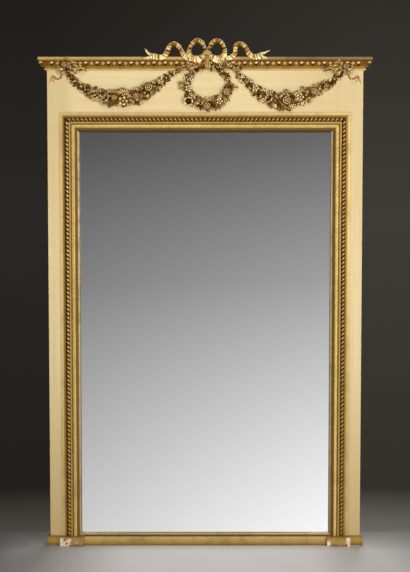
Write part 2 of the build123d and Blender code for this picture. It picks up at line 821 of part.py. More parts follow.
def ring_bloom(angle):
    """Place and radius of a bloom across the band of the wreath at one angle."""
    turn = Vector(1, 0).rotate(Axis.Z, angle)
    outer = Vector(ring_x + ring_half_width * turn.X, ring_height + ring_half_height * turn.Y)
    inner = Vector(ring_x + ring_hole_half_width * turn.X,
                   ring_hole_height + ring_hole_half_height * turn.Y)
    middle = (outer + inner) * 0.5
    return middle.X, middle.Y, (outer - inner).length * ring_bloom_share


# Wreath: an oval band of blooms on the frieze, thicker at the foot, with a
# spray of leaves at its head that rises over the cornice under the knot.
with BuildPart() as wreath:
    with BuildSketch(front):
        with Locations((ring_x, ring_height)):
            Ellipse(ring_half_width, ring_half_height)
        with Locations((ring_x, ring_hole_height)):
            Ellipse(ring_hole_half_width, ring_hole_half_height, mode=Mode.SUBTRACT)
    extrude(amount=ring_thickness)
    for step in range(ring_bloom_count):
        add_bloom(*ring_bloom(ring_bloom_start_angle + step * ring_bloom_pitch_angle))
    split(bisect_by=Plane.XY.offset(cornice_bottom - ornament_clearance), keep=Keep.BOTTOM)
    with BuildSketch(front):
        for side in (-1, 1):
            leaf_place = (crest_x + side * spray_leaf_place, cornice_bottom, 0)
            with Locations(Location(leaf_place, (0, 0, side * spray_leaf_slope))):
                Ellipse(spray_leaf_length / 2, spray_leaf_width / 2)
    extrude(amount=spray_depth)
    add(cornice_space.part, mode=Mode.SUBTRACT)
save(wreath, "wreath")


# Outline of a corner spray: a rosette with three leaves.
leaf_places_shares = [(-0.75, -0.1, -20), (-1.45, -0.3, -8), (0.28, -0.36, -35)]
leaf_size_shares = [1, 0.9, 0.66]


def corner_outline(side, grow, mode=Mode.ADD):
    """The rosette and its leaves seen from the front, grown by a clearance."""
    with Locations((side * corner_x, corner_height)):
        Circle(rosette_radius + grow, mode=mode)
    for (along, up, turn), size in zip(leaf_places_shares, leaf_size_shares):
        leaf_x = side * (corner_x + along * corner_leaf_length)
        leaf_z = corner_height + up * corner_leaf_length
        with Locations(Location((leaf_x, leaf_z, 0), (0, 0, -side * turn))):
            Ellipse(size * corner_leaf_length / 2 + grow, size * corner_leaf_width / 2 + grow, mode=mode)


# Swags: the same casting twice, a band of blooms that hangs between a corner
# of the frieze and the knot.
swag_span = corner_x + swag_shift - swag_gap
swag_top = cornice_bottom + swag_rise
swag_drop = swag_drop_share * field_height
upper_edge_shares = [(0.02, 0.02), (0.06, 0.21), (0.18, 0.42), (0.32, 0.53), (0.49, 0.55), (0.66, 0.45),
                     (0.82, 0.27), (0.99, 0.03)]
lower_edge_shares = [(1, 0.09), (0.92, 0.28), (0.81, 0.58), (0.66, 0.87), (0.5, 1), (0.34, 0.93),
                     (0.2, 0.75), (0.07, 0.47), (-0.02, 0.02)]
bloom_places_shares = [(0.04, 0.26), (0.09, 0.39), (0.16, 0.52), (0.24, 0.62), (0.34, 0.73),
                       (0.42, 0.74), (0.5, 0.76), (0.58, 0.74), (0.66, 0.66), (0.73, 0.55),
                       (0.8, 0.43), (0.87, 0.3), (0.94, 0.17)]
bloom_size_shares = [0.075, 0.09, 0.115, 0.14, 0.2, 0.17, 0.23, 0.18, 0.16, 0.165, 0.11, 0.085, 0.06]

for side, swag_x, name in ((-1, -corner_x, "swag_left"), (1, swag_shift + swag_gap, "swag_right")):
    with BuildPart() as swag:
        with BuildSketch(front):
            with BuildLine():
                upper = Spline(*[(swag_x + along * swag_span, swag_top - down * swag_drop)
                                 for along, down in upper_edge_shares])
                lower = Spline(*[(swag_x + along * swag_span, swag_top - down * swag_drop)
                                 for along, down in lower_edge_shares])
                Line(upper @ 1, lower @ 0)
                Line(lower @ 1, upper @ 0)
            make_face()
        extrude(amount=swag_thickness)
        for (along, down), size in zip(bloom_places_shares, bloom_size_shares):
            add_bloom(swag_x + along * swag_span, swag_top - down * swag_drop, size * swag_drop)
        split(bisect_by=Plane.XY.offset(cornice_bottom - ornament_clearance), keep=Keep.BOTTOM)
        with BuildSketch(front):
            corner_outline(side, ornament_clearance)
        extrude(amount=corner_depth, mode=Mode.SUBTRACT)
    save(swag, name)


# Corners of the frieze: a rosette with leaves over the cornice, and a thin
# ribbon with a forked end on the casing.
curl_shares = [(0, 0), (0.15, 0.45), (0.45, 0.63), (0.8, 0.4), (0.97, 0.42), (1, 0.76)]
corner_ribbon_x = corner_x + corner_ribbon_offset
corner_ribbon_top = cornice_bottom - corner_ribbon_sink

for side, name in ((-1, "left"), (1, "right")):
    with BuildPart() as corner_spray:
        with BuildSketch(front):
            corner_outline(side, 0)
        extrude(amount=corner_depth)
        add(cornice_space.part, mode=Mode.SUBTRACT)
    save(corner_spray, f"corner_spray_{name}")

    with BuildPart() as corner_ribbon:
        with BuildSketch(front):
            with BuildLine() as curl:
                Spline(*[(side * (corner_ribbon_x + along * corner_ribbon_span),
                          corner_ribbon_top - down * corner_ribbon_drop) for along, down in curl_shares])
            trace(curl.line, line_width=corner_ribbon_width)
            corner_outline(side, ornament_clearance, mode=Mode.SUBTRACT)
        extrude(amount=corner_ribbon_thickness)
    save(corner_ribbon, f"corner_ribbon_{name}")
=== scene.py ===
# Overmantel mirror in the French neoclassical manner. A cream casing carries a
# gilded cornice, a ribbon bow, a wreath and two swags, a gilded sight moulding
# with a twisted rope, and a low gilded base. Metres, the front faces -Y.
import math

import bmesh
import bpy
import numpy as np
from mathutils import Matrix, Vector


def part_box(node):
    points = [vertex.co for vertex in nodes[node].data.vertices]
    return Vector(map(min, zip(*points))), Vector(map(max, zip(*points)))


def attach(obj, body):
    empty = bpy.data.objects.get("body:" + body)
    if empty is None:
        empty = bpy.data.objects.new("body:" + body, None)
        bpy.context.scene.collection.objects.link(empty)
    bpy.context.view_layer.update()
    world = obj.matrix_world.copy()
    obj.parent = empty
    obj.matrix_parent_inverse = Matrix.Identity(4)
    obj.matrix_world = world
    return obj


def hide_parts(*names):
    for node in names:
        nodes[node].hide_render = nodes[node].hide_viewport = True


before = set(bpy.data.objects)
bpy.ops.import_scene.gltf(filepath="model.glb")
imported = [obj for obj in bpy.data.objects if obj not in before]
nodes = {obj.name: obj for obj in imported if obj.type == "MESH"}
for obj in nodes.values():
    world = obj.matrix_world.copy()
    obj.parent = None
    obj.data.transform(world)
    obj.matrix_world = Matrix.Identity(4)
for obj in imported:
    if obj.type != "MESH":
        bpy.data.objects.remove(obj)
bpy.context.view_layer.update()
scene = bpy.context.scene


# Studio: the camera stands five metres in front and looks slightly down. The
# mirror shows a sweep of paper that is nearly white below and grey above, and
# the wall behind it is dark. Soft boxes stand left, right, above and behind.
camera_place = (-0.0006, -5.0, 1.3456)
camera_dip = math.radians(3.6409)
lens = bpy.data.cameras.new("camera")
lens.lens = 79.58
lens.sensor_width = 36
camera = bpy.data.objects.new("camera", lens)
camera.location = camera_place
camera.rotation_euler = (math.pi / 2 - camera_dip, 0, 0)
scene.collection.objects.link(camera)
scene.camera = camera
scene.view_settings.view_transform = "Standard"


def plug(node, sockets):
    """Sets each socket of a node to a value, or joins it to an output."""
    for name, value in dict(sockets).items():
        if isinstance(value, bpy.types.NodeSocket):
            node.id_data.links.new(value, node.inputs[name])
        else:
            node.inputs[name].default_value = value


def add_node(tree, kind, sockets=(), **settings):
    """A new node with its settings and its sockets."""
    node = tree.nodes.new(kind)
    for name, value in settings.items():
        setattr(node, name, value)
    plug(node, sockets)
    return node


def axes(coords):
    """The x, y and z of coordinates, as outputs."""
    return add_node(coords.id_data, "ShaderNodeSeparateXYZ", {"Vector": coords}).outputs


def pigment(red, green, blue):
    """Linear colour of a paint chip, given as it looks on a screen, from 0 to 255."""
    chip = np.array([red, green, blue]) / 255
    return (*np.where(chip < 0.04, chip / 12.92, ((chip + 0.055) / 1.055) ** 2.4), 1.0)


def shades(*stops):
    """Stops of a ramp, from (place, red, green, blue) on a screen."""
    return [(place, pigment(red, green, blue)) for place, red, green, blue in stops]


def add_ramp(value, stops):
    """Colour that runs through a list of (place, colour) stops as value goes from 0 to 1."""
    ramp = add_node(value.id_data, "ShaderNodeValToRGB", {"Fac": value})
    steps = ramp.color_ramp.elements
    steps[0].position = stops[0][0]
    steps[1].position = stops[-1][0]
    for place, _ in stops[1:-1]:
        steps.new(place)
    for step, (_, colour) in zip(steps, stops):
        step.color = colour
    return ramp.outputs["Color"]


def spread(value, low, high, start=0.0, end=1.0):
    """Value carried from low..high to start..end, and held at the ends."""
    ends = {"Value": value, "From Min": low, "From Max": high, "To Min": start, "To Max": end}
    return add_node(value.id_data, "ShaderNodeMapRange", ends).outputs["Result"]


def blend(share, first, second):
    """Colour on the way from the first to the second, by a share."""
    sockets = {"Factor": share, "A": first, "B": second}
    return add_node(share.id_data, "ShaderNodeMix", sockets, data_type="RGBA").outputs["Result"]


studio = bpy.data.worlds.new("studio")
studio.use_nodes = True
scene.world = studio
look_x, look_y, look_z = axes(add_node(studio.node_tree, "ShaderNodeTexCoord").outputs["Generated"])


def lit_more_right(colour, half, left, right):
    """Colour times a share that grows from left to right over a half width of the view."""
    light = spread(look_x, -half, half, left, right)
    return add_node(colour.id_data, "ShaderNodeVectorMath", {0: colour, 1: light},
                    operation="MULTIPLY").outputs[0]


paper_shades = shades((0.0, 250, 250, 250), (0.3, 150, 150, 150), (0.44, 98, 98, 98), (1.0, 84, 84, 84))
paper = lit_more_right(add_ramp(spread(look_z, -0.3, 0.5), paper_shades), 0.2, 0.54, 1.46)
wall_shades = shades((0.0, 100, 96, 90), (0.1, 42, 39, 35), (0.6, 52, 49, 45), (1.0, 40, 37, 33))
wall = lit_more_right(add_ramp(spread(look_z, -0.26, 0.16), wall_shades), 0.12, 0.68, 1.45)
room = blend(spread(look_y, -0.04, 0.04), paper, wall)
plug(studio.node_tree.nodes["Background"], {"Color": room, "Strength": 1.0})


def open_material(name):
    """A new material, its object coordinates and its shader."""
    material = bpy.data.materials.new(name)
    material.use_nodes = True
    coords = add_node(material.node_tree, "ShaderNodeTexCoord").outputs["Object"]
    return material, coords, material.node_tree.nodes["Principled BSDF"]


def noise(coords, scale, detail=3.0, roughness=0.55):
    """Clouds from 0 to 1, scale of them to the metre."""
    sockets = {"Vector": coords, "Scale": scale, "Detail": detail, "Roughness": roughness}
    return add_node(coords.id_data, "ShaderNodeTexNoise", sockets).outputs["Fac"]


def sums(operation, *values):
    """One number from two or more, each a value or an output, taken in their order."""
    tree = next(value.id_data for value in values if isinstance(value, bpy.types.NodeSocket))
    total = values[0]
    for value in values[1:]:
        total = add_node(tree, "ShaderNodeMath", {0: total, 1: value}, operation=operation).outputs[0]
    return total


def floor_paper(name):
    """Paper with faint clouds, darkened by painted shade behind the mirror and out to both sides."""
    finish, coords, shader = open_material(name)
    x, y, _ = axes(coords)
    worn = add_ramp(noise(coords, 3.0), shades((0.3, 244, 244, 245), (0.7, 249, 249, 250)))
    # Painted shade: the paper greys behind the mirror and out to both sides.
    shaded_behind = blend(spread(y, -0.14, 0.16), worn, pigment(150, 146, 141))
    shade = sums("MAXIMUM", spread(x, -0.9, -0.3, 1.0, 0.0), spread(x, 0.4, 0.85, 0.0, 0.6))
    plug(shader, {"Base Color": blend(shade, shaded_behind, pigment(96, 92, 88)), "Roughness": 0.6})
    return finish


floor_reach = 3
floor_back = 0.16
floor_level = -0.0005
floor_mesh = bpy.data.meshes.new("floor")
floor_corners = [(x, y, floor_level) for x, y in ((-floor_reach, -floor_reach), (floor_reach, -floor_reach),
                                                  (floor_reach, floor_back), (-floor_reach, floor_back))]
floor_mesh.from_pydata(floor_corners, [], [(0, 1, 2, 3)])
floor_mesh.materials.append(floor_paper("studio_floor"))
floor = bpy.data.objects.new("floor", floor_mesh)
floor.visible_glossy = False
scene.collection.objects.link(floor)


def add_lamp(name, place, aim, size, power, colour):
    """A square soft box at a place, turned to what it lights."""
    lamp = bpy.data.lights.new(name, "AREA")
    lamp.shape = "SQUARE"
    lamp.size = size
    lamp.energy = power
    lamp.color = colour
    holder = bpy.data.objects.new(name, lamp)
    holder.location = place
    holder.rotation_mode = "QUATERNION"
    aim_line = np.array(aim) - np.array(place)
    holder.rotation_quaternion = Vector(aim_line).to_track_quat("-Z", "Y")
    scene.collection.objects.link(holder)


add_lamp("key", (1.5, -2.9, 1.35), (0.2, 0, 0.95), 1.1, 49, (1.0, 0.96, 0.92))
add_lamp("fill", (-1.55, -3.3, 1.1), (0.0, 0, 0.95), 1.2, 33, (1.0, 0.97, 0.94))
add_lamp("crown", (-0.2, -2.5, 3.2), (0.0, 0, 1.8), 0.9, 14, (1.0, 0.97, 0.94))
add_lamp("back", (0.6, 2.8, 2.4), (0, 0, 1.0), 1.6, 45, (1.0, 0.98, 0.95))


# Casing: two stiles and a frieze rail of soft wood, tenoned and pegged, under old cream distemper that shows
# its brush strokes, has yellowed into a stain deepened by painted shadow next to the gilding, and has rubbed
# thin along the outer arrises and at the foot. Painted shade darkens it towards the foot, and high up
# towards the right and along the left edge.
case_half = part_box("right_stile")[1].x
case_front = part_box("frieze_rail")[0].y
upright_grain = (46.0, 46.0, 1.3)
level_grain = (1.3, 46.0, 46.0)


def dress(finish, *names):
    """Gives CAD nodes their finish."""
    for name in names:
        for slot in nodes[name].material_slots:
            slot.material = finish


def stretched(coords, scale, moved=0.0):
    """Coordinates drawn out along the grain, and moved to another part of the pattern."""
    sockets = {"Vector": coords, "Scale": scale, "Location": (moved, moved, moved)}
    return add_node(coords.id_data, "ShaderNodeMapping", sockets).outputs["Vector"]


def off_middle(value, middle=0.0):
    """How far a value is from a middle, either way."""
    return sums("ABSOLUTE", sums("SUBTRACT", value, middle), 0.0)


def raised(height, depth):
    """Normals of a surface that stands up by a depth in metres as height goes from 0 to 1."""
    sockets = {"Height": height, "Strength": 1.0, "Distance": depth}
    return add_node(height.id_data, "ShaderNodeBump", sockets).outputs["Normal"]


def cream_paint(name, grain):
    """Distemper with strokes along the grain. Over it lie clouds of yellow, painted shade towards the foot,
    painted shade high up towards the right and along the left edge, a stain deepened by painted shadow along
    the moulding, and worn flecks. Behind, the wood is bare."""
    paint, coords, shader = open_material(name)
    x, y, height = axes(coords)
    across = off_middle(x)
    strokes = noise(stretched(coords, grain), 1.0, 6.0, 0.62)
    colour = add_ramp(strokes, shades((0.3, 221, 199, 146), (0.5, 228, 207, 155), (0.72, 233, 214, 165)))
    bare = add_ramp(strokes, shades((0.3, 150, 110, 68), (0.5, 186, 146, 98), (0.7, 200, 164, 114)))

    yellow = spread(noise(coords, 2.6, 2.0), 0.4, 0.75, 0.0, 0.35)
    # Painted shade: the paint darkens towards the foot.
    shade_low_down = spread(height, 0.1, 0.7, 0.85, 0.0)
    # Painted shade: high up, the paint darkens towards the right and along the left edge.
    shaded_sides = sums("MAXIMUM", spread(x, -0.55, -0.51, 1.0, 0.0), spread(x, 0.2, 0.45))
    shade_high_up = sums("MULTIPLY", spread(height, 1.15, 1.6, 0.0, 0.6), shaded_sides)

    front = spread(y, case_front + 0.003, case_front + 0.009, 1.0, 0.0)
    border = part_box("sight_moulding_right")[1].x
    border_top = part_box("sight_moulding_top")[1].z
    # A stain with painted shadow: a dark band beside the moulding and above its top.
    beside = spread(across, border, border + 0.004, 0.3, 0.0)
    inside = spread(across, border + 0.004, border + 0.005, 1.0, 0.0)
    above = spread(height, border_top, border_top + 0.005, 0.2, 0.0)
    below = spread(height, border_top + 0.002, border_top + 0.006, 1.0, 0.0)
    stain_and_shadow = sums("MAXIMUM", beside, sums("MULTIPLY", above, inside))
    stain_and_shadow = sums("MULTIPLY", stain_and_shadow, front, sums("MAXIMUM", below, above))

    arris = sums("MULTIPLY", spread(across, case_half - 0.005, case_half), front)
    foot = spread(height, 0.06, 0.14, 0.16, 0.0)
    flecks = spread(noise(coords, 70.0, 4.0, 0.7), 0.52, 0.66)
    rubbed_and_lit = sums("MULTIPLY", sums("MAXIMUM", arris, foot), flecks)
    for share, chip in ((yellow, (232, 206, 134)), (shade_low_down, (201, 175, 118)), (shade_high_up, (208, 184, 128)),
                        (stain_and_shadow, (168, 143, 82)), (rubbed_and_lit, (176, 150, 104))):
        colour = blend(share, colour, pigment(*chip))
    colour = blend(spread(y, -0.003, -0.001), colour, bare)
    plug(shader, {"Base Color": colour, "Roughness": spread(strokes, 0.3, 0.7, 0.62, 0.46),
                  "Normal": raised(strokes, 0.0003)})
    return paint


dress(cream_paint("cream_upright", upright_grain), "left_stile", "right_stile")
dress(cream_paint("cream_level", level_grain), "frieze_rail")


# Bare wood: six backboards of knotty pine with planing marks, screwed into the
# rebate behind, the bottom rail tenoned between the stiles, the turned pegs
# that hold the tenons, and the small blocks that wedge and carry the glass.
def bare_wood(name, grain, pale, dark, moved=0.0, board=None):
    """Pine: dark late-wood lines drawn out along the grain, and dust in the pores. A board also has
    dark joints along its two edges."""
    wood, coords, shader = open_material(name)
    wave = {"Vector": stretched(coords, grain, moved), "Scale": 0.9, "Distortion": 11.0, "Detail": 3.0,
            "Detail Scale": 0.7}
    figure = add_node(coords.id_data, "ShaderNodeTexWave", wave, bands_direction="DIAGONAL").outputs["Fac"]
    pores = noise(stretched(coords, tuple(3.5 * side for side in grain)), 1.0, 5.0, 0.7)
    lines = sums("MULTIPLY", figure, spread(pores, 0.25, 0.8))
    halfway = tuple(0.5 * (a + b) for a, b in zip(pale, dark))
    colour = add_ramp(lines, [(0.0, pale), (0.55, halfway), (1.0, dark)])
    dust = spread(noise(coords, 5.0, 4.0), 0.45, 0.7, 0.0, 0.5)
    colour = blend(dust, colour, pigment(128, 108, 84))
    if board:
        low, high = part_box(board)
        half = (high.z - low.z) / 2
        from_middle = off_middle(axes(coords)["Z"], low.z + half)
        joint = spread(from_middle, half - 0.005, half - 0.001, 0.0, 0.85)
        colour = blend(joint, colour, pigment(52, 36, 24))
    plug(shader, {"Base Color": colour, "Roughness": spread(pores, 0.3, 0.7, 0.68, 0.85),
                  "Normal": raised(lines, 0.0004)})
    return wood


pine = (pigment(206, 168, 116), pigment(142, 98, 58))
aged = (pigment(178, 136, 88), pigment(112, 74, 42))
board_tones = (0.96, 0.84, 1.06, 0.9, 1.0, 0.8)
for number, tone in enumerate(board_tones, 1):
    pale, dark = ((*(tone * np.array(colour[:3])), 1.0) for colour in pine)
    board = f"backboard_{number}"
    dress(bare_wood(f"pine_{board}", (1.6, 22.0, 22.0), pale, dark, 7.3 * number, board), board)
dress(bare_wood("pine_rail", (1.6, 30.0, 30.0), *aged), "bottom_rail")
dress(bare_wood("pine_end_grain", (60.0, 60.0, 60.0), *aged), "joint_pegs")
dress(bare_wood("pine_blocks", (30.0, 30.0, 8.0), *aged), "setting_blocks", "glazing_blocks")


# Steel at the back: two hanging plates let into the stiles, and slotted wood
# screws, all grey with age and freckled with rust.
def old_steel(name):
    """Steel: fine scratches, brown freckles of rust that are rougher than the metal."""
    steel, coords, shader = open_material(name)
    freckles = spread(noise(coords, 160.0, 5.0, 0.7), 0.5, 0.64)
    scratches = noise(stretched(coords, (90.0, 90.0, 1400.0)), 1.0, 2.0)
    metal = add_ramp(scratches, shades((0.3, 112, 110, 106), (0.7, 150, 148, 143)))
    plug(shader, {"Base Color": blend(freckles, metal, pigment(98, 62, 38)),
                  "Metallic": spread(freckles, 0.0, 1.0, 0.95, 0.1),
                  "Roughness": spread(freckles, 0.0, 1.0, 0.36, 0.85), "Normal": raised(freckles, 0.0001)})
    return steel


dress(old_steel("steel"), "hanging_plate_left", "hanging_plate_right", "hanging_plate_screws",
      "backboard_screws", "top_board_screws")


# Mirror glass: one silvered plate, nearly perfect, with the faint grey specks
# of old silvering close to its edges. It stands on two blocks, the slips hold
# it from the front and glued blocks from behind.
speck_start = 0.035
speck_full = 0.012


def old_silver(name, plate):
    """Silver that mirrors clearly. Specks lie where small clouds rise high near the plate's edges,
    and they grow from speck_start to speck_full before an edge."""
    silver, coords, shader = open_material(name)
    x, _, height = axes(coords)
    low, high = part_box(plate)
    half = (high.z - low.z) / 2
    near_side = spread(off_middle(x), high.x - speck_start, high.x - speck_full)
    near_end = spread(off_middle(height, low.z + half), half - speck_start, half - speck_full)
    specks = spread(noise(coords, 55.0, 5.0, 0.75), 0.6, 0.72)
    foxed = sums("MULTIPLY", sums("MAXIMUM", near_side, near_end), specks)
    plug(shader, {"Base Color": blend(foxed, (0.94, 0.94, 0.94, 1), (0.66, 0.64, 0.61, 1)), "Metallic": 1.0,
                  "Roughness": spread(foxed, 0.0, 1.0, 0.015, 0.08)})
    return silver


dress(old_silver("silvering", "mirror_glass"), "mirror_glass")


# Cornice: a bead, a cavetto and a sloping seat of gilded wood, mitred and glued
# round the front and both sides, under a flat top board that is screwed down.
# The top of the hollow is dull and darkened with painted shade, and the bead and board edge are rubbed.
def gilding(name, level_of, stops, marks=190.0, wander=0.14, depth=0.00025, metal=0.65, damage=None,
            changes=(), dulled=0.42):
    """Leaf over bole: the colour runs through stops as level_of says, broken up by small clouds and
    dulled by larger ones; where the leaf is bright it is also smoother and more metallic. Each
    change is (axis, start, end, stops): from start to end the shades pass over to those stops."""
    gold, coords, shader = open_material(name)
    clouds = noise(coords, marks, 4.0, 0.65)
    level = sums("ADD", level_of(coords), spread(clouds, 0.25, 0.75, -wander, wander))
    colour = add_ramp(level, stops)
    for axis, start, end, later in changes:
        passed = spread(axes(coords)[axis], min(start, end), max(start, end),
                        float(start > end), float(start < end))
        colour = blend(passed, colour, add_ramp(level, later))
    dull = spread(noise(coords, 17.0, 5.0, 0.65), 0.48, 0.74, 0.0, dulled)
    colour = blend(dull, colour, pigment(78, 52, 18))
    if damage:
        colour = damage(coords, colour)
    bright = add_node(coords.id_data, "ShaderNodeRGBToBW", {"Color": colour}).outputs["Val"]
    plug(shader, {"Base Color": colour, "Roughness": spread(bright, 0.03, 0.6, 0.62, 0.36),
                  "Metallic": spread(bright, 0.03, 0.5, 0.3, metal), "Specular IOR Level": 0.2,
                  "Normal": raised(clouds, depth)})
    return gold


def up_the(node):
    """The level that picks the leaf's colour: the height between the foot and the top of a node."""
    low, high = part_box(node)
    return lambda coords: spread(axes(coords)["Z"], low.z, high.z)


# The golds of the wooden mouldings: leaf rubbed pale, leaf as it was toned, dull leaf darkened with painted
# shade, and bole darkened with painted shade.
rubbed_leaf = (206, 178, 118)
toned_leaf = (176, 142, 68)
dull_leaf_in_shade = (126, 94, 38)
bole_in_shade = (60, 40, 14)


def dimmed(share, chip):
    """A chip at a share of its brightness."""
    return [share * level for level in chip]


# Painted shade: the board darkens towards its foot, and its right half is painted darker.
board_turns_shaded = (0.05, 0.35)
board_stops, shaded_board = (
    shades((0.0, *dimmed(share, dull_leaf_in_shade)), (0.3, *dimmed(share, toned_leaf)),
           (0.85, *dimmed(share, rubbed_leaf)), (1.0, *dimmed(share, toned_leaf))) for share in (1.0, 0.7))
dress(gilding("board_leaf", up_the("cornice_top_board"), board_stops, 60.0, wander=0.05, metal=0.4,
              changes=[("X", *board_turns_shaded, shaded_board)]), "cornice_top_board")
# Painted shade: the cornice darkens towards its top, under the egg band.
cornice_stops = shades((0.0, *rubbed_leaf), (0.3, *toned_leaf), (0.5, *toned_leaf),
                       (1.0, *dimmed(0.9, dull_leaf_in_shade)))
dress(gilding("cornice_leaf", up_the("cornice_front"), cornice_stops, 120.0, wander=0.03, metal=0.4),
      "cornice_front", "cornice_left_return", "cornice_right_return")


# Eggs on the cornice: a strip of cast composition glued to the seat, with a row of round eggs, each in a
# raised cup, and a small dart between two cups. The eggs carry painted highlights, the rims are rubbed pale,
# and painted shade darkens the cups round the eggs and the ground, which also holds dust.
def cast(name, grids, finish, node):
    """One mesh from grids of points (..., rows, columns, 4), the fourth number saying how pale the leaf is
    there, for wear and for painted highlight and shade. Neighbours on a grid span quads, and points that
    coincide are merged."""
    points, quads, start = [], [], 0
    for grid in grids:
        rows, columns = grid.shape[-3:-1]
        number = np.arange(grid[..., 0].size).reshape(-1, rows, columns) + start
        corners = (number[:, :-1, :-1], number[:, :-1, 1:], number[:, 1:, 1:], number[:, 1:, :-1])
        quads.append(np.stack(corners, axis=-1).reshape(-1, 4))
        points.append(grid.reshape(-1, 4))
        start += grid[..., 0].size
    points = np.concatenate(points)
    mesh = bpy.data.meshes.new(name)
    mesh.from_pydata(points[:, :3].tolist(), [], np.concatenate(quads).tolist())
    clean_and_lit = mesh.attributes.new("clean_and_lit", "FLOAT", "POINT")
    clean_and_lit.data.foreach_set("value", points[:, 3].astype(np.float32))
    shape = bmesh.new()
    shape.from_mesh(mesh)
    bmesh.ops.remove_doubles(shape, verts=shape.verts, dist=1e-6)
    bmesh.ops.recalc_face_normals(shape, faces=shape.faces)
    shape.to_mesh(mesh)
    shape.free()
    mesh.shade_smooth()
    mesh.materials.append(finish)
    piece = bpy.data.objects.new(name, mesh)
    scene.collection.objects.link(piece)
    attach(piece, "root")
    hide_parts(node)


def grid_of(*columns):
    """One grid from its x, y, z and cleanness, each repeated to the size of the largest."""
    return np.stack(np.broadcast_arrays(*columns), axis=-1)


def strew(shape, places, sizes, turns=0.0, leans=0.0, towards=0.0, tones=1.0):
    """Copies of a small form whose z stands off the face of the mirror. Each is turned about its own
    z, leaned by an angle towards a direction in the face, sized, toned, and set at its place."""
    count = len(places)
    sizes, turns, leans, towards, tones = (np.broadcast_to(np.asarray(v, float), count)
                                           for v in (sizes, turns, leans, towards, tones))

    def spun(x, y, angle):
        """x and y turned by an angle, one for each copy."""
        cosine = np.cos(angle)[:, None, None]
        sine = np.sin(angle)[:, None, None]
        return cosine * x - sine * y, sine * x + cosine * y

    x, y, z = (np.broadcast_to(shape[..., k], (count, *shape.shape[:2])) for k in range(3))
    x, y = spun(x, y, turns - towards)
    z, x = spun(z, x, leans)
    x, y = spun(x, y, towards)
    size = sizes[:, None, None]
    places = np.asarray(places, float)[:, None, None]
    tone = shape[..., 3] * tones[:, None, None]
    return grid_of(places[..., 0] + size * x, places[..., 1] - size * z, places[..., 2] + size * y, tone)


def turned(steps, columns, lobes=0, draw=0.0, sink=0.0):
    """A turned form: steps of (radius, height, share of the lobes, clean_and_lit) go from the middle of the
    face over the rim to the middle of the back. Between lobes the rim is drawn in and sinks, and painted
    shade darkens it."""
    radius, height, share, clean_and_lit = (np.array(step)[:, None] for step in zip(*steps))
    angle = (np.arange(columns + 1) + 0.5)[None] * 2 * np.pi / columns
    gap = 1 - np.abs(np.cos(lobes * angle / 2)) if lobes else np.zeros_like(angle)
    radius = radius * (1 - share * draw * gap)
    height = height - share * sink * gap
    # Painted shade between the lobes.
    clean_and_lit = clean_and_lit * (1 - 0.7 * np.clip(share, 0, 1) * gap ** 2)
    return grid_of(radius * np.cos(angle), radius * np.sin(angle), height, clean_and_lit)


def by_form(coords):
    """How pale the leaf is, for wear and for painted highlight and shade, as the mesh says."""
    return add_node(coords.id_data, "ShaderNodeAttribute", attribute_name="clean_and_lit").outputs["Fac"]


egg_stops = shades(
    (0.0, 58, 28, 0), (0.2, 110, 66, 2), (0.42, 166, 124, 48), (0.66, 212, 180, 118), (0.9, 255, 227, 174),
    (1.0, 255, 236, 194))
egg_leaf = gilding("egg_leaf", by_form, egg_stops, 260.0, wander=0.05, metal=0.3, dulled=0.2)
# Painted highlight and shade: the pearl is pale on its face and dark round its edge and back, the cup is
# dark inside its rim, and the dart is dark round its edge.
pearl = turned(
    [(0, 1.0, 0, 1.0), (0.34, 0.95, 0, 1.0), (0.6, 0.82, 0, 1.0), (0.82, 0.6, 0, 0.95),
    (0.97, 0.34, 0, 0.3), (1.06, -0.2, 0, 0.0), (0.6, -0.3, 0, 0.0), (0, -0.3, 0, 0.0)], 20)
cup = turned(
    [(1.0, -0.1, 0, 0.0), (1.38, 0.0, 0, 0.0), (1.46, 0.34, 0, 0.3), (1.56, 0.32, 0, 0.5),
    (1.66, 0.0, 0, 0.1), (1.3, -0.2, 0, 0.0), (1.0, -0.1, 0, 0.0)], 20)
dart = turned(
    [(0, 0.6, 0, 0.6), (0.28, 0.5, 0, 0.5), (0.64, 0.56, 0.4, 0.62), (0.94, 0.36, 0.8, 0.5),
    (1.04, -0.05, 0.8, 0.0), (0, -0.1, 0, 0.0)], 24, 4, 0.14, 0.2)
# An egg gets a painted highlight on top and on its left and painted shade below. A dart is narrower than it
# is high.
pearl[..., 3] *= np.clip(0.38 + 1.9 * pearl[..., 1] - 0.3 * pearl[..., 0], 0.12, 1)
dart = dart * (0.86, 1, 1, 1)

band_low, band_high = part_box("egg_band_front")
seat_low = 0.020
seat_high = 0.025
strip_thick = 0.003
# Painted shade with dust: the strip behind the eggs is dark.
strip_tone = 0.2
egg_count = 28
egg_size = 0.0083
egg_reach = case_half + (seat_low + seat_high) / 2
egg_pitch = 2 * egg_reach / (egg_count + 1)
egg_out = 0.0235
corner_egg_out = 0.0215
corner_egg_growth = 1.05
egg_height = (band_low.z + band_high.z) / 2
sliver = 0.001


def strip(*ends):
    """A band of four-cornered section whose two end sections are given, corner by corner."""
    ends = np.array(ends, float)
    ends = np.concatenate([ends, ends[:, :1]], axis=1)
    return np.concatenate([ends, np.full((*ends.shape[:2], 1), strip_tone)], axis=2)


def mitred_end(side, section):
    """Corners of the strip's section at a front corner of the casing, for a side of it."""
    return [(side * (case_half + out), case_front - out, z) for out, z in section]


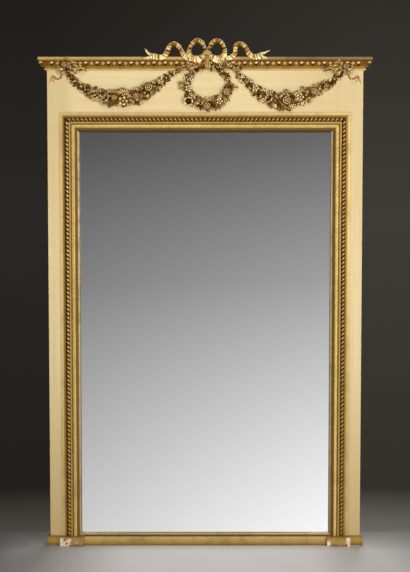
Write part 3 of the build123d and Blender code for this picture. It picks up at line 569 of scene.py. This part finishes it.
strip_section = [(seat_low, band_low.z), (seat_high, band_high.z), (seat_high + strip_thick, band_high.z),
                 (seat_low + strip_thick, band_low.z)]
seat_slope = math.atan2(seat_high - seat_low, band_high.z - band_low.z)
egg_places = np.array([(-egg_reach + step * egg_pitch, case_front - egg_out, egg_height)
                       for step in range(1, egg_count + 1)])
dart_places = egg_places[:-1] + (egg_pitch / 2, 0, 0)
front_grids = [strip(mitred_end(-1, strip_section), mitred_end(1, strip_section))]
for form, places in ((pearl, egg_places), (cup, egg_places), (dart, dart_places)):
    front_grids.append(strew(form, places, egg_size, leans=-seat_slope, towards=np.pi / 2))
cast("egg_band", front_grids, egg_leaf, "egg_band_front")
for side, name in ((-1, "left"), (1, "right")):
    wall_end = [(side * (case_half + out), 0.0, z) for out, z in strip_section]
    corner_egg = (side * (egg_reach - sliver), case_front - corner_egg_out, egg_height)
    side_grids = [strip(mitred_end(side, strip_section), wall_end),
                  strew(pearl, [corner_egg], corner_egg_growth * egg_size)]
    for form in (pearl, cup):
        # A form that faces the front is turned to face the side.
        facing = strew(form, [(0, 0, egg_height)], egg_size)
        sideways = side * (egg_reach + sliver) - side * facing[..., 1]
        backward = corner_egg[1] - sliver + egg_pitch + facing[..., 0]
        side_grids.append(grid_of(sideways, backward, facing[..., 2], facing[..., 3]))
    cast(f"egg_band_return_{name}", side_grids, egg_leaf, f"egg_band_{name}")


# Sight moulding: three mitred lengths of gilded wood glued round the opening, with a low fillet, a cove, a
# channel for the rope, a flat, a hollow and a burnished ridge. The fillet is rubbed pale, bole and painted
# shade darken the channel, painted shade darkens the hollow and the slope to the glass, and the ridge
# carries a painted highlight.
moulding_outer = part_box("sight_moulding_right")[1]
moulding_width = 0.068


def across_moulding(coords):
    """Share of the way in from the outside of the frame, the nearer of its side and its top."""
    x, _, height = axes(coords)
    from_side = sums("SUBTRACT", moulding_outer.x, off_middle(x))
    from_top = sums("SUBTRACT", moulding_outer.z, height)
    return spread(sums("MINIMUM", from_side, from_top), 0.0, moulding_width)


# Painted highlight: the burnished ridge is painted brighter than the rest.
burnished_highlight_leaf = (240, 208, 126)
sight_stops = shades(
    (0.0, *rubbed_leaf), (0.11, *rubbed_leaf), (0.17, *toned_leaf), (0.27, *toned_leaf), (0.31, *bole_in_shade),
    (0.51, *bole_in_shade), (0.54, *toned_leaf), (0.61, *toned_leaf), (0.64, *dull_leaf_in_shade), (0.69, *dull_leaf_in_shade),
    (0.735, *burnished_highlight_leaf), (0.825, *burnished_highlight_leaf), (0.875, *dull_leaf_in_shade), (1.0, *dull_leaf_in_shade))
dress(gilding("sight_leaf", across_moulding, sight_stops, 150.0, wander=0.02, metal=0.3, dulled=0.3),
      "sight_moulding_left", "sight_moulding_right", "sight_moulding_top")


# Twisted rope: two round strands laid up together, cast in lengths and glued in the channel. It leans
# outwards at the top on both sides of the middle, where the two hands meet in one plain oval. Painted shade
# darkens the grooves and the sides of the strands, the crests carry a painted highlight, one side is painted
# lighter than the other, and both soften towards the foot.
rope_radius = 0.008
rope_inset = 0.028
rope_pitch = 0.0165
rope_y = -0.050
rope_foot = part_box("rope_left")[0].z
rope_x = moulding_outer.x - rope_inset
rope_top = moulding_outer.z - rope_inset
# Painted light: from 0.8 m down to 0.2 m the rope's highlights and shade soften into the foot stops.
rope_light_fades = (0.8, 0.2)


def rope(rings, start, end, outward, hand, rubbed_and_lit):
    """Rope surface: round the section by angle a, its radius is R (0.78 + 0.22 |sin(p/2)|^0.6), with the
    phase p = 2 pi s / pitch + 2 hand a, s along it. start and end are (s, slope), the slope of a mitre
    across the rope. A hand of 0 turns both ways from the middle. rubbed_and_lit says by how much the outer
    side of the rope is painted lighter than its inner side."""
    angle = np.linspace(-np.pi / 2, 3 * np.pi / 2, 17)[None]
    share = np.concatenate([[0], np.linspace(0, 1, rings), [1]])[:, None]
    cap = np.ones_like(share)
    cap[[0, -1]] = 0
    across = rope_radius * np.cos(angle)
    first = start[0] + start[1] * across
    last = end[0] + end[1] * across
    s = first + (last - first) * share
    lean = hand if hand else np.clip(np.abs(s) / rope_pitch, 0, 1)
    phase = 2 * np.pi * np.abs(s) / rope_pitch + np.pi + 2 * lean * (angle - np.pi / 2)
    crest = np.abs(np.sin(phase / 2)) ** 0.6
    radius = rope_radius * (0.78 + 0.22 * crest) * cap
    aside = radius * np.cos(angle)
    proud = radius * np.sin(angle)
    outside = aside * outward / rope_radius
    # Painted shade darkens the grooves between the strands and the sides that turn back, and the crests
    # carry a painted highlight.
    clean_and_lit = np.clip(crest ** 3 * (0.74 + rubbed_and_lit * outside) * np.clip(0.1 + np.sin(angle), 0, 1), 0, 1)
    return s, aside, rope_y - proud, clean_and_lit


side_rings = 1010
top_rings = 680
rope_stops = shades(
    (0.0, 44, 26, 4), (0.3, 96, 66, 22), (0.6, 154, 120, 62), (0.85, 220, 192, 138), (1.0, 248, 230, 184))
rope_foot_stops = shades(
    (0.0, 62, 40, 10), (0.3, 120, 86, 34), (0.6, 164, 126, 62), (0.85, 200, 164, 98), (1.0, 216, 184, 120))
rope_leaf = gilding("rope_leaf", by_form, rope_stops, 260.0, wander=0.08, metal=0.5,
                    changes=[("Z", *rope_light_fades, rope_foot_stops)])
# Painted light: the left rope is painted darker on its outer side, the right and top ropes lighter there.
for side, name, rubbed_and_lit in ((-1, "left", -0.55), (1, "right", 0.25)):
    height, aside, y, clean_and_lit = rope(side_rings, (rope_foot, 0), (rope_top, side), side, side, rubbed_and_lit)
    cast(f"rope_{name}_laid", [grid_of(side * rope_x + aside, y, height, clean_and_lit)], rope_leaf, f"rope_{name}")
x, aside, y, clean_and_lit = rope(top_rings, (-rope_x, -1), (rope_x, 1), 1, 0, 0.3)
cast("rope_top_laid", [grid_of(x, y, rope_top + aside, clean_and_lit)], rope_leaf, "rope_top")


# Sight slips: four thin gilded battens, pinned inside the moulding, that hold the plate from the front. The
# sides are pale with a dark line of painted shadow against the glass and under the moulding, the top one is
# brown with painted shade, and the bottom one is rubbed along its edge and darkened by painted shade towards
# the base.
slip_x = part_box("sight_slip_right")[0].x
slip_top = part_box("sight_slip_top")[0].z
slip_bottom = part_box("sight_slip_bottom")[1].z
slip_shows = 0.009


def round_opening(coords):
    """Share of the way out from the sight opening, over the width of slip that shows."""
    x, _, height = axes(coords)
    sideways = sums("SUBTRACT", off_middle(x), slip_x)
    upwards = sums("SUBTRACT", height, slip_top)
    downwards = sums("SUBTRACT", slip_bottom, height)
    return spread(sums("MAXIMUM", sideways, upwards, downwards), 0.0, slip_shows)


worn_slip = (172, 152, 110)
shaded_slip = (76, 58, 32)
for name, chip, sides in (("upright", worn_slip, ("left", "right")), ("top", shaded_slip, ("top",))):
    # Painted shadow: each slip darkens at the glass and under the moulding.
    stops = shades((0.0, *dimmed(0.55, chip)), (0.3, *chip), (0.8, *chip), (1.0, *dimmed(0.55, chip)))
    dress(gilding(f"slip_leaf_{name}", round_opening, stops, 120.0, wander=0.05),
          *(f"sight_slip_{side}" for side in sides))
bottom_stops = shades((0.0, *rubbed_leaf), (0.5, *worn_slip), (1.0, *shaded_slip))
dress(gilding("slip_leaf_bottom", round_opening, bottom_stops, 120.0, wander=0.04), "sight_slip_bottom")


# Base: a low rail between two blocks that break forward, and a plinth block
# round the foot of each stile, all gilded wood glued on. Knocks have chipped
# the leaf off the blocks down to the white gesso and, in spots, the brown bole.
gesso = (236, 222, 196)
stained_gesso = (226, 206, 178)
bole = (116, 76, 50)
dusty_leaf = (176, 160, 146)
block_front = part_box("base_block_left")[0].y
block_in, block_out = (corner.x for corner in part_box("base_block_right"))


def chips(side, rows):
    """Chips on a block: each row is the way in from its outer end, the height and the radius, all in
    millimetres, and the colour of the ground that shows."""
    return [((side * (block_out - inward / 1000), block_front, height / 1000), radius / 1000, ground_colour)
            for inward, height, radius, ground_colour in rows]


def chipped(spots):
    """Worn and chipped leaf: brown shows in small clouds, and the ground shows round each spot of
    (place, radius, colour), as far as 0.4 to 1.5 times its radius, as ragged as a cloud says."""
    def break_through(coords, colour):
        """The colour of the leaf with its wear and its chips laid over it."""
        worn = spread(noise(coords, 210.0, 4.0, 0.7), 0.48, 0.62, 0.0, 0.7)
        worn = sums("MULTIPLY", worn, spread(noise(coords, 40.0), 0.42, 0.56))
        colour = blend(worn, colour, pigment(208, 166, 122))
        ragged = spread(noise(coords, 190.0, 5.0, 0.75), 0.3, 0.7, 0.4, 1.5)
        for place, radius, ground_colour in spots:
            away = add_node(coords.id_data, "ShaderNodeVectorMath", {0: coords, 1: place},
                            operation="DISTANCE")
            edge = sums("SUBTRACT", away.outputs["Value"], sums("MULTIPLY", ragged, radius))
            colour = blend(spread(edge, -0.0015, 0.0005, 1.0, 0.0), colour, pigment(*ground_colour))
        return colour
    return break_through


# Painted shade darkens the rail at its foot and along its top edge.
base_stops = shades((0.0, *dull_leaf_in_shade), (0.3, *toned_leaf), (0.9, *rubbed_leaf), (1.0, *dull_leaf_in_shade))
dress(gilding("base_leaf", up_the("base_rail"), base_stops, 45.0, wander=0.02), "base_rail")
# Painted shade darkens the blocks and plinths towards their foot.
plinth_stops = shades((0.0, *dull_leaf_in_shade), (0.4, *toned_leaf), (1.0, *toned_leaf))
block_width = 1000 * (block_out - block_in)
spots = chips(-1, ((4, 16, 20, gesso), (24, 12, 18, stained_gesso), (36, 24, 9, gesso), (18, 26, 5, bole),
                   (26, 12, 5, bole), (66, 16, 8, dusty_leaf)))
spots += chips(1, ((block_width - 2, 12, 12, gesso), (4, 26, 13, gesso), (6, 8, 12, stained_gesso),
                   (16, 4, 6, bole)))
dress(gilding("block_leaf", up_the("base_block_right"), plinth_stops, 60.0, wander=0.12,
              damage=chipped(spots)), "base_block_left", "base_block_right")
dress(gilding("plinth_leaf", up_the("base_block_right"), plinth_stops, 60.0, wander=0.1),
      "plinth_block_left", "plinth_block_right")


# Garlands: cast composition pinned on the frieze. A wreath hangs in the middle
# and a swag of flowers on each side, thick in the middle and thin at the ends,
# crowded with small blossoms and leaves round a few large flowers.
carrier_heights = (1.866, 1.870, 1.886, 1.905)
carrier_faces = (-0.040, -0.049, -0.060, -0.071)


def smooth_path(points, count):
    """Even steps along a curve through points; between p1 and p2 it runs as
    (2 p1 + (p2 - p0) t + (2 p0 - 5 p1 + 4 p2 - p3) t^2 + (3 p1 - 3 p2 + p3 - p0) t^3) / 2.
    Gives the points and the distance run to each, measured over the first two columns."""
    ends = np.vstack([2 * points[0] - points[1], points, 2 * points[-1] - points[-2]])
    place = np.linspace(0, len(points) - 1, 30 * len(points))
    first = np.minimum(place.astype(int), len(points) - 2)
    t = (place - first)[:, None]
    p0, p1, p2, p3 = (ends[first + step] for step in range(4))
    curve = (2 * p1 + (p2 - p0) * t + (2 * p0 - 5 * p1 + 4 * p2 - p3) * t ** 2
             + (3 * p1 - 3 * p2 + p3 - p0) * t ** 3) / 2
    run = np.concatenate([[0], np.cumsum(np.hypot(*np.diff(curve[:, :2], axis=0).T))])
    even = np.linspace(0, run[-1], count)
    return np.stack([np.interp(even, run, column) for column in curve.T], axis=1), even


def across_of(path):
    """Unit vectors across a path in the face, to its left."""
    ahead = np.gradient(path[:, :2], axis=0)
    ahead = ahead / np.hypot(*ahead.T)[:, None]
    return np.stack([-ahead[:, 1], ahead[:, 0]], axis=1)


def closed_ends(rows):
    """Rows along a line with the first and the last said twice, so that a cap closes each end."""
    return np.vstack([rows[:1], rows, rows[-1:]])


def closed_tube(path, angle, share=1.0):
    """x and z of a tube along a path of (x, z, half width), drawn to a point at both ends: the spine
    plus half cos(angle) across it. Gives also half, which is a share of the path's half width."""
    spine = closed_ends(path)
    aside = closed_ends(across_of(path))
    half = share * spine[:, 2:]
    half[[0, -1]] = 0
    x = spine[:, :1] + aside[:, :1] * half * np.cos(angle)
    z = spine[:, 1:2] + aside[:, 1:] * half * np.cos(angle)
    return x, z, half


def ground(z):
    """Y of what carries the ornament at a height: the frieze, then the cornice standing out."""
    return np.interp(z, carrier_heights, carrier_faces)


def drawn(*points):
    """A line of (x, z, half width), drawn in millimetres."""
    return np.array(points, float) / 1000


def leaf_form():
    """A lens of leaf from its stalk at x = 0 to its tip at 1: half width 0.3 sin(pi x^0.8), a fold down the
    middle, and an arch of 0.22 sin(pi x). Painted highlight and shade make the raised edges and the tip pale
    and the fold and the back dark."""
    x = np.linspace(0, 1, 7)[:, None]
    angle = np.linspace(0, 2 * np.pi, 9)[None]
    half = 0.3 * np.sin(np.pi * x ** 0.8)
    fold = np.abs(np.cos(angle))
    z = 0.22 * np.sin(np.pi * x) + half * (0.3 * np.sin(angle) + 0.5 * fold) - 0.05
    clean_and_lit = np.clip(0.2 + 0.5 * fold + 0.25 * x, 0, 1) * (np.sin(angle) > -0.1)
    return grid_of(x, half * np.cos(angle), z, clean_and_lit)


def rose_form():
    """A full rose: a dome with three rings of five petals, each a step that rises outwards. The petals turn
    from ring to ring: step (2.6 r + 0.35 |cos 2.5 (a + 1.1 r)|) % 1. Painted highlight and shade make each
    petal pale at its raised edge and dark at its foot and at the rim."""
    r = np.linspace(0, 1, 14)[:, None]
    angle = np.linspace(0, 2 * np.pi, 31)[None]
    wound = (2.6 * r + 0.35 * np.abs(np.cos(2.5 * (angle + 1.1 * r)))) % 1
    z = 0.5 * np.sqrt(np.clip(1 - 0.9 * r ** 2, 0, 1)) + 0.3 * wound - 0.3 * (r > 0.99)
    rim = 1 - 0.12 * np.abs(np.cos(2.5 * angle)) * r
    clean_and_lit = np.clip(1.5 * wound ** 2 - 0.1, 0, 1) * (r < 0.99)
    return grid_of(r * rim * np.cos(angle), r * rim * np.sin(angle), z, clean_and_lit)


leaf = leaf_form()
rose = rose_form()
# Painted highlight and shade: the flowers are pale on their hearts and petals and dark under the rim, in the
# crease round the heart of each blossom and daisy, and in a trumpet's throat.
blossom = turned(
    [(0, 0.62, 0, 1.0), (0.26, 0.52, 0, 0.7), (0.36, 0.34, 0.2, 0.0), (0.7, 0.42, 0.8, 0.95),
    (1.0, 0.14, 1, 0.4), (0, -0.4, 0, 0.0)], 15, 5, 0.36, 0.3)
daisy = turned(
    [(0, 0.5, 0, 1.0), (0.14, 0.48, 0, 1.0), (0.24, 0.3, 0, 0.0), (0.34, 0.2, 0.1, 0.1),
    (0.54, 0.36, 0.7, 0.8), (0.78, 0.44, 1, 1.0), (0.95, 0.34, 1, 0.8), (1.0, 0.16, 1, 0.3),
    (0.6, -0.1, 0.4, 0.0), (0, -0.3, 0, 0.0)], 30, 5, 0.42, 0.3)
trumpet = turned(
    [(0, 0.0, 0, 0.35), (0.16, -0.1, 0, 0.0), (0.42, -0.02, 0, 0.0), (0.6, 0.26, 0.1, 0.08),
    (0.78, 0.5, 0.3, 0.75), (0.94, 0.6, 1, 1.0), (1.04, 0.48, 1, 0.95), (0.8, 0.1, 0.4, 0.4),
    (0.5, -0.4, 0, 0.1), (0, -0.5, 0, 0.0)], 24, 5, 0.12, 0.1)
bud = turned(
    [(0, 1.0, 0, 0.8), (0.6, 0.8, 0, 0.65), (0.95, 0.25, 0, 0.3), (0.6, -0.3, 0, 0.0), (0, -0.3, 0, 0.0)],
    8)
golden_share = 0.618034
core_share = 0.7
# Painted shade: the core between the blossoms is nearly black.
core_shade_tone = 0.08
core_sunk = 0.0005
relief = 0.62
blossom_sizes = (0.0056, 0.0106)
leaf_lengths = (0.012, 0.023)
bud_sizes = (0.0028, 0.0046)
flower_stops = shades(
    (0.0, 52, 26, 0), (0.26, 104, 64, 8), (0.46, 164, 122, 50), (0.64, 228, 196, 124),
    (0.85, 255, 240, 192), (1.0, 255, 248, 218))
flower_leaf = gilding("flower_leaf", by_form, flower_stops, 210.0, wander=0.16, metal=0.5, dulled=0.3)


def garland(line, blooms, leaves, luck):
    """A thick string of flowers along a line of (x, z, half thickness). Blossoms stand on a half round core,
    spaced by the golden share across it, leaves fringe both margins, and buds lie between. The core is a
    share of the line's thickness wide and stands off by the relief, and is dark with painted shade between
    the blossoms."""
    path, run = smooth_path(line, 120)
    across = across_of(path)
    angle = np.linspace(0, 2 * np.pi, 15)[None]
    x, z, half = closed_tube(path, angle, core_share)
    y = ground(z) + core_sunk - relief * half * np.clip(np.sin(angle), 0, 1)
    grids = [grid_of(x, y, z, core_shade_tone)]

    def on_core(place, share, lift):
        """Places at a distance along the core and a share across it: the points, the direction
        outwards and the half thickness there."""
        middle = np.stack([np.interp(place, run, column) for column in path.T], axis=1)
        out = np.stack([np.interp(place, run, column) for column in across.T], axis=1)
        thick = middle[:, 2]
        px, pz = (middle[:, :2] + (share * thick)[:, None] * out).T
        height = relief * thick * np.sqrt(np.clip(1 - (0.9 * share) ** 2, 0, 1))
        outwards = np.arctan2(out[:, 1], out[:, 0])
        return np.stack([px, ground(pz) - lift * height, pz], axis=1), outwards, thick

    filled = np.concatenate([[0], np.cumsum(path[1:, 2] ** 1.2)])
    place = np.interp((np.arange(blooms) + 0.5) / blooms * filled[-1], filled, run)
    share = 1.6 * ((np.arange(blooms) * golden_share + luck.random()) % 1) - 0.8
    where, out, thick = on_core(place, share, 1.0)
    size = luck.uniform(*blossom_sizes, blooms) * np.interp(thick, (0.008, 0.03), (0.7, 1.05))
    grids.append(strew(blossom, where, size, luck.uniform(0, 6, blooms), share * 1.1, out,
                       luck.uniform(0.3, 1.15, blooms)))

    edge = np.where(np.arange(leaves) % 2, 1.0, -1.0)
    place = np.interp((np.arange(leaves) + luck.uniform(0, 1, leaves)) / leaves, (0, 1), (run[0], run[-1]))
    where, out, thick = on_core(place, luck.uniform(0.3, 0.7, leaves) * edge, 0.8)
    heading = out + np.where(edge > 0, 0, np.pi) + luck.uniform(-1.1, 1.1, leaves)
    size = luck.uniform(0.75, 1.2, leaves) * np.interp(thick, (0.008, 0.035), leaf_lengths)
    grids.append(strew(leaf, where, size, heading, luck.uniform(-0.1, 0.5, leaves), heading,
                       luck.uniform(0.3, 1.2, leaves)))

    buds = blooms // 2
    where, _, _ = on_core(luck.uniform(run[0], run[-1], buds), luck.uniform(-1.05, 1.05, buds), 1.0)
    grids.append(strew(bud, where, luck.uniform(*bud_sizes, buds)))
    return grids


def single(form, x, z, size, proud, turn=0.0, lean=0.0, towards=0.0, tone=0.85):
    """One large flower or leaf whose heart stands proud of what carries it, in millimetres."""
    heart = (x / 1000, float(ground(z / 1000)) - proud / 1000, z / 1000)
    return strew(form, [heart], size / 1000, turn, lean, towards, tone)


luck = np.random.default_rng(7)
left_line = drawn(
    (-540, 1880, 7), (-525, 1845, 10), (-500, 1820, 13), (-470, 1799, 16), (-440, 1784, 21),
    (-404, 1772, 26), (-364, 1762, 30), (-318, 1759, 34), (-272, 1767, 31), (-231, 1787, 26),
    (-191, 1809, 21), (-165, 1827, 16), (-135, 1850, 11), (-94, 1878, 6))
left_flowers = (
    (trumpet, -384, 1758, 18, 22, 0.3, 0.75, 2.5), (daisy, -318, 1750, 20, 28, 0, 0, 0, 0.75),
    (blossom, -321, 1792, 13, 16), (rose, -219, 1804, 20.5, 18), (rose, -268, 1772, 15, 20),
    (rose, -440, 1790, 12, 14), (daisy, -172, 1826, 12, 12), (rose, -352, 1764, 14, 22))
right_line = drawn(
    (118, 1878, 7), (138, 1845, 12), (169, 1820, 16), (205, 1789, 20), (240, 1764, 25), (276, 1749, 31),
    (316, 1746, 34), (357, 1759, 30), (398, 1777, 26), (438, 1794, 21), (474, 1814, 16), (509, 1837, 11),
    (539, 1866, 7))
right_flowers = (
    (trumpet, 250, 1757, 18, 22, 0.9, 0.75, 2.5), (rose, 316, 1752, 22.5, 24), (rose, 423, 1789, 17, 18),
    (daisy, 368, 1766, 16, 22), (blossom, 316, 1786, 13, 14), (daisy, 196, 1800, 14, 14),
    (blossom, 470, 1812, 11, 12), (rose, 160, 1826, 11, 12))
for name, line, flowers in (("left", left_line, left_flowers), ("right", right_line, right_flowers)):
    swag_grids = garland(line, 104, 124, luck) + [single(*flower) for flower in flowers]
    cast(f"swag_{name}_flowers", swag_grids, flower_leaf, f"swag_{name}")

ring_x = 0.0105
ring_z = 1.8115
ring_half_width = 0.0815
ring_half_height = 0.0735
ring_thin = 0.0125
ring_swell = 0.0115
round_turn = np.linspace(0.56 * np.pi, 2.44 * np.pi, 22)
lower_half = np.clip(-np.sin(round_turn), 0, 1)
ring_line = np.stack([ring_x + ring_half_width * np.cos(round_turn),
                      ring_z + ring_half_height * np.sin(round_turn),
                      ring_thin + ring_swell * lower_half ** 0.7], axis=1)
wreath_flowers = (
    (trumpet, -63.5, 1751, 17.5, 18, 0, 0.3, 4.2), (rose, 83, 1786, 17.5, 18), (rose, 7, 1732, 18, 18),
    (daisy, -66, 1800, 13, 14), (daisy, 56, 1750, 14, 16), (leaf, -76, 1814, 32, 10, 2.9),
    (leaf, -80, 1806, 26, 10, 3.5), (leaf, 100, 1806, 30, 8, -0.1), (blossom, 86, 1834, 11, 12),
    (blossom, -54, 1848, 10.5, 12), (leaf, -34, 1890, 40, 10, 3.5), (leaf, -66, 1880, 36, 8, 3.3),
    (leaf, -26, 1894, 30, 12, 3.9), (leaf, -52, 1886, 26, 12, 2.9))
left_branch = drawn((-14, 1896, 5), (-42, 1889, 6), (-72, 1881, 6), (-100, 1872, 5))
right_branch = drawn((20, 1904, 7), (50, 1901, 11), (84, 1892, 12), (114, 1881, 11), (140, 1868, 7))
wreath_grids = garland(ring_line, 84, 104, luck) + [single(*flower) for flower in wreath_flowers]
wreath_grids += garland(left_branch, 10, 26, luck) + garland(right_branch, 22, 18, luck)
cast("wreath_flowers", wreath_grids, flower_leaf, "wreath")


# Corner sprays: at each end of the swags a cast rosette with long leaves hides
# the pin, and a narrow forked ribbon hangs from it beside the frame, both
# glued to the cornice and the frieze.
def ribbon(line, thick, pleat=0.0, depth=0.0, base=None, ribs=0, outside=0):
    """A band along a line of (x, z, half width), its face raised by thick. Folds across lie every pleat
    metres and are depth deep; ribs run lengthwise. Folds: 1 - |cos(pi s / pleat)|^7. Painted shade darkens
    the folds and the grooves between ribs, and both edges are paler. Where outside is 1 or -1, the bow's
    upper turns are darker than its lower ones, with a painted highlight along the edge on that side and
    painted shadow along the other, and fine lines of painted shade cross the lower turns."""
    path, run = smooth_path(line, max(16, 14 * len(line)))
    angle = np.linspace(0, 2 * np.pi, 33 if ribs else 17)[None]
    x, z, half = closed_tube(path, angle)
    s = closed_ends(run[:, None])
    crest = 1.0
    if pleat:
        uneven = s + 0.3 * pleat * np.sin(s / pleat * 2.1) + 0.2 * pleat * np.cos(angle)
        crest = 1 - np.abs(np.cos(np.pi * uneven / pleat)) ** 7
    if ribs:
        crest = 0.5 + 0.5 * np.cos(2 * ribs * angle)
    arch = np.clip(np.sin(angle), 0, 1) ** 0.4
    back = ground(z) if base is None else base
    y = back + ribbon_sunk - (thick * arch + depth * crest * arch) * (half > 0)
    rolled = 0.25 * np.abs(np.cos(angle)) ** 4
    clean_and_lit = 0.14 + 0.48 * crest + rolled
    if outside:
        low_turn = np.interp(z, lower_turns, (1.0, 0.0))
        # Painted highlight along the outer edge of the upper turns.
        margin_highlight = np.clip(2.2 * (outside * np.cos(angle) - 0.45), 0, 1) * (1 - low_turn)
        patches = 0.13 * np.sin(150 * s + 2.0) + 0.10 * np.sin(411 * s)
        shadow = 0.22 * np.clip(-1.6 * outside * np.cos(angle) - 0.3, 0, 1) * (1 - low_turn)
        fine = 1 - 0.45 * low_turn * np.abs(np.cos(2 * np.pi * s / pleat)) ** 9
        clean_and_lit = (0.42 + 0.32 * low_turn + 0.45 * margin_highlight - shadow + patches) * (0.45 + 0.55 * crest) * fine
    clean_and_lit = np.clip(clean_and_lit, 0, 1) * (np.sin(angle) > -0.05)
    return grid_of(x, y, z, clean_and_lit)


ribbon_sunk = 0.0003
lower_turns = (1.916, 1.946)
corner_tone = 0.82
corner_folds = {"thick": 0.003, "pleat": 0.009, "depth": 0.001}
stalk_thick = 0.006
end_thick = 0.003
spray_stalk = drawn((540, 1886, 5), (510, 1876, 4), (478, 1870, 3), (452, 1873, 2))
hanging_ribbon = drawn(
    (551, 1872, 3), (556, 1852, 3), (566, 1838, 4), (581, 1838, 4), (592, 1848, 4), (597, 1838, 3))
ribbon_ends = (
    drawn((596, 1842, 4), (602, 1830, 3), (605, 1820, 1)), drawn((596, 1842, 4), (592, 1830, 3),
    (586, 1823, 1)))
spray_leaves = (
    (555, 1874, 26, -1.3), (520, 1886, 36, -2.75), (492, 1873, 34, -2.95), (530, 1878, 40, -2.5),
    (526, 1896, 26, 2.7), (556, 1884, 24, -0.5), (518, 1892, 26, -3.1), (500, 1884, 28, -2.9))
upper_leaves = ((560, 1896, 22, 0.4), (540, 1902, 22, 1.9))
spray_flowers = (
    (blossom, 522, 1880, 10, 10), (bud, 556, 1873.5, 7.5, 8, 0, 0, 0, 1.2), (blossom, 562, 1876, 9, 8),
    (bud, 500, 1872, 5, 6), (bud, 478, 1868, 5, 6), (bud, 460, 1872, 4, 4))
for side, name, rose_height, leaves in ((-1, "left", 1890, spray_leaves + upper_leaves),
                                        (1, "right", 1883, spray_leaves)):
    # Lines and places are drawn for the right side, and a side of -1 carries them to the left.
    to_side = (side, 1, 1)
    grids = [single(rose, side * 544.5, rose_height, 15, 12, tone=0.8)]
    grids += [single(form, side * x, *rest) for form, x, *rest in spray_flowers]
    for x, z, size, turn in leaves:
        heading = turn if side > 0 else np.pi - turn
        grids.append(single(leaf, side * x, z, size, 6, heading, 0.12, heading))
    grids.append(ribbon(spray_stalk * to_side, stalk_thick))
    cast(f"corner_spray_{name}_flowers", grids, flower_leaf, f"corner_spray_{name}")
    grids = [ribbon(hanging_ribbon * to_side, **corner_folds)]
    grids += [ribbon(end * to_side, end_thick) for end in ribbon_ends]
    grids = [grid * (1, 1, 1, corner_tone) for grid in grids]
    cast(f"corner_ribbon_{name}_band", grids, flower_leaf, f"corner_ribbon_{name}")


# Bow: a pleated ribbon cast in composition, gilded, and pinned to the edge of
# the top board. Two loops stand up from a small knot, a ribbed drop hangs in
# front of the cornice, and two tails run along the board to forked ends.
ribbon_stops = shades(
    (0.0, 60, 32, 0), (0.2, 116, 76, 18), (0.4, 186, 144, 66), (0.6, 232, 202, 132), (0.8, 252, 236, 186),
    (1.0, 254, 248, 222))
ribbon_leaf = gilding("ribbon_leaf", by_form, ribbon_stops, 130.0, wander=0.14, metal=0.4, dulled=0.25)
bow_y = -0.072
loop_folds = {"thick": 0.006, "pleat": 0.0125, "depth": 0.0028, "base": bow_y}
tail_folds = {"thick": 0.005, "pleat": 0.016, "depth": 0.0026, "base": bow_y}
knot_folds = {"thick": 0.010, "pleat": 0.0095, "depth": 0.002, "base": bow_y}
drop_ribs = {"thick": 0.007, "ribs": 4, "depth": 0.003, "base": bow_y}
fork_thick = 0.005
drop_tone = 0.9
left_loop = drawn(
    (6, 1938, 6), (-2, 1950, 7), (-12, 1970, 9), (-29, 1981, 10), (-46, 1972, 9), (-59, 1952, 8),
    (-62, 1930, 10), (-49, 1914, 13), (-30, 1909, 15), (-13, 1918, 11), (0, 1929, 6), (6, 1934, 4))
right_loop = drawn(
    (8, 1938, 6), (16, 1952, 7), (27, 1972, 9), (45, 1980, 10), (62, 1973, 9), (73, 1950, 8),
    (74, 1930, 10), (61, 1914, 13), (42, 1910, 15), (26, 1919, 11), (14, 1929, 6), (8, 1934, 4))
left_tail = drawn(
    (-8, 1921, 7), (-40, 1911, 8), (-66, 1911, 9), (-82, 1925, 10), (-94, 1943, 9), (-104, 1959, 9),
    (-120, 1968, 10), (-136, 1960, 9), (-145, 1943, 10), (-154, 1926, 10), (-168, 1917, 11),
    (-190, 1918, 12), (-214, 1923, 11))
right_tail = drawn(
    (20, 1921, 7), (50, 1911, 8), (80, 1912, 9), (101, 1918, 10), (115, 1931, 9), (117, 1946, 9),
    (119, 1961, 9), (132, 1968, 10), (148, 1962, 9), (158, 1949, 10), (168, 1932, 10), (184, 1919, 11),
    (202, 1919, 12), (222, 1924, 10))
left_fork = (
    drawn((-206, 1927, 6), (-219, 1932, 5), (-227, 1941, 4), (-232, 1950, 1)), drawn((-208, 1918, 6),
    (-226, 1914, 5), (-244, 1914, 1)))
right_fork = (
    drawn((212, 1930, 6), (230, 1935, 4), (250, 1944, 1)), drawn((214, 1920, 7), (230, 1916, 5),
    (244, 1914, 1)))
for side, name, loop in ((-1, "left", left_loop), (1, "right", right_loop)):
    grids = [ribbon(loop, **loop_folds, outside=side)]
    cast(f"bow_loop_{name}_band", grids, ribbon_leaf, f"bow_loop_{name}")
for side, name, tail, fork in ((-1, "left", left_tail, left_fork), (1, "right", right_tail, right_fork)):
    grids = [ribbon(tail, **tail_folds, outside=side)]
    grids += [ribbon(prong, fork_thick, base=bow_y) for prong in fork]
    cast(f"ribbon_tail_{name}_band", grids, ribbon_leaf, f"ribbon_tail_{name}")
knot_line = drawn((-8, 1928, 4), (-2, 1935, 7), (7, 1937, 8), (16, 1935, 7), (22, 1928, 4))
drop_line = drawn((8, 1924, 3), (8, 1912, 5), (9, 1898, 9), (10, 1886, 12), (10, 1877, 10))
knot_heart = (0.007, bow_y - 0.010, 1.9345)
knot_grids = [strew(rose, [knot_heart], 0.0125), ribbon(knot_line, **knot_folds),
              ribbon(drop_line, **drop_ribs) * (1, 1, 1, drop_tone)]
cast("bow_knot_folds", knot_grids, ribbon_leaf, "bow_knot")
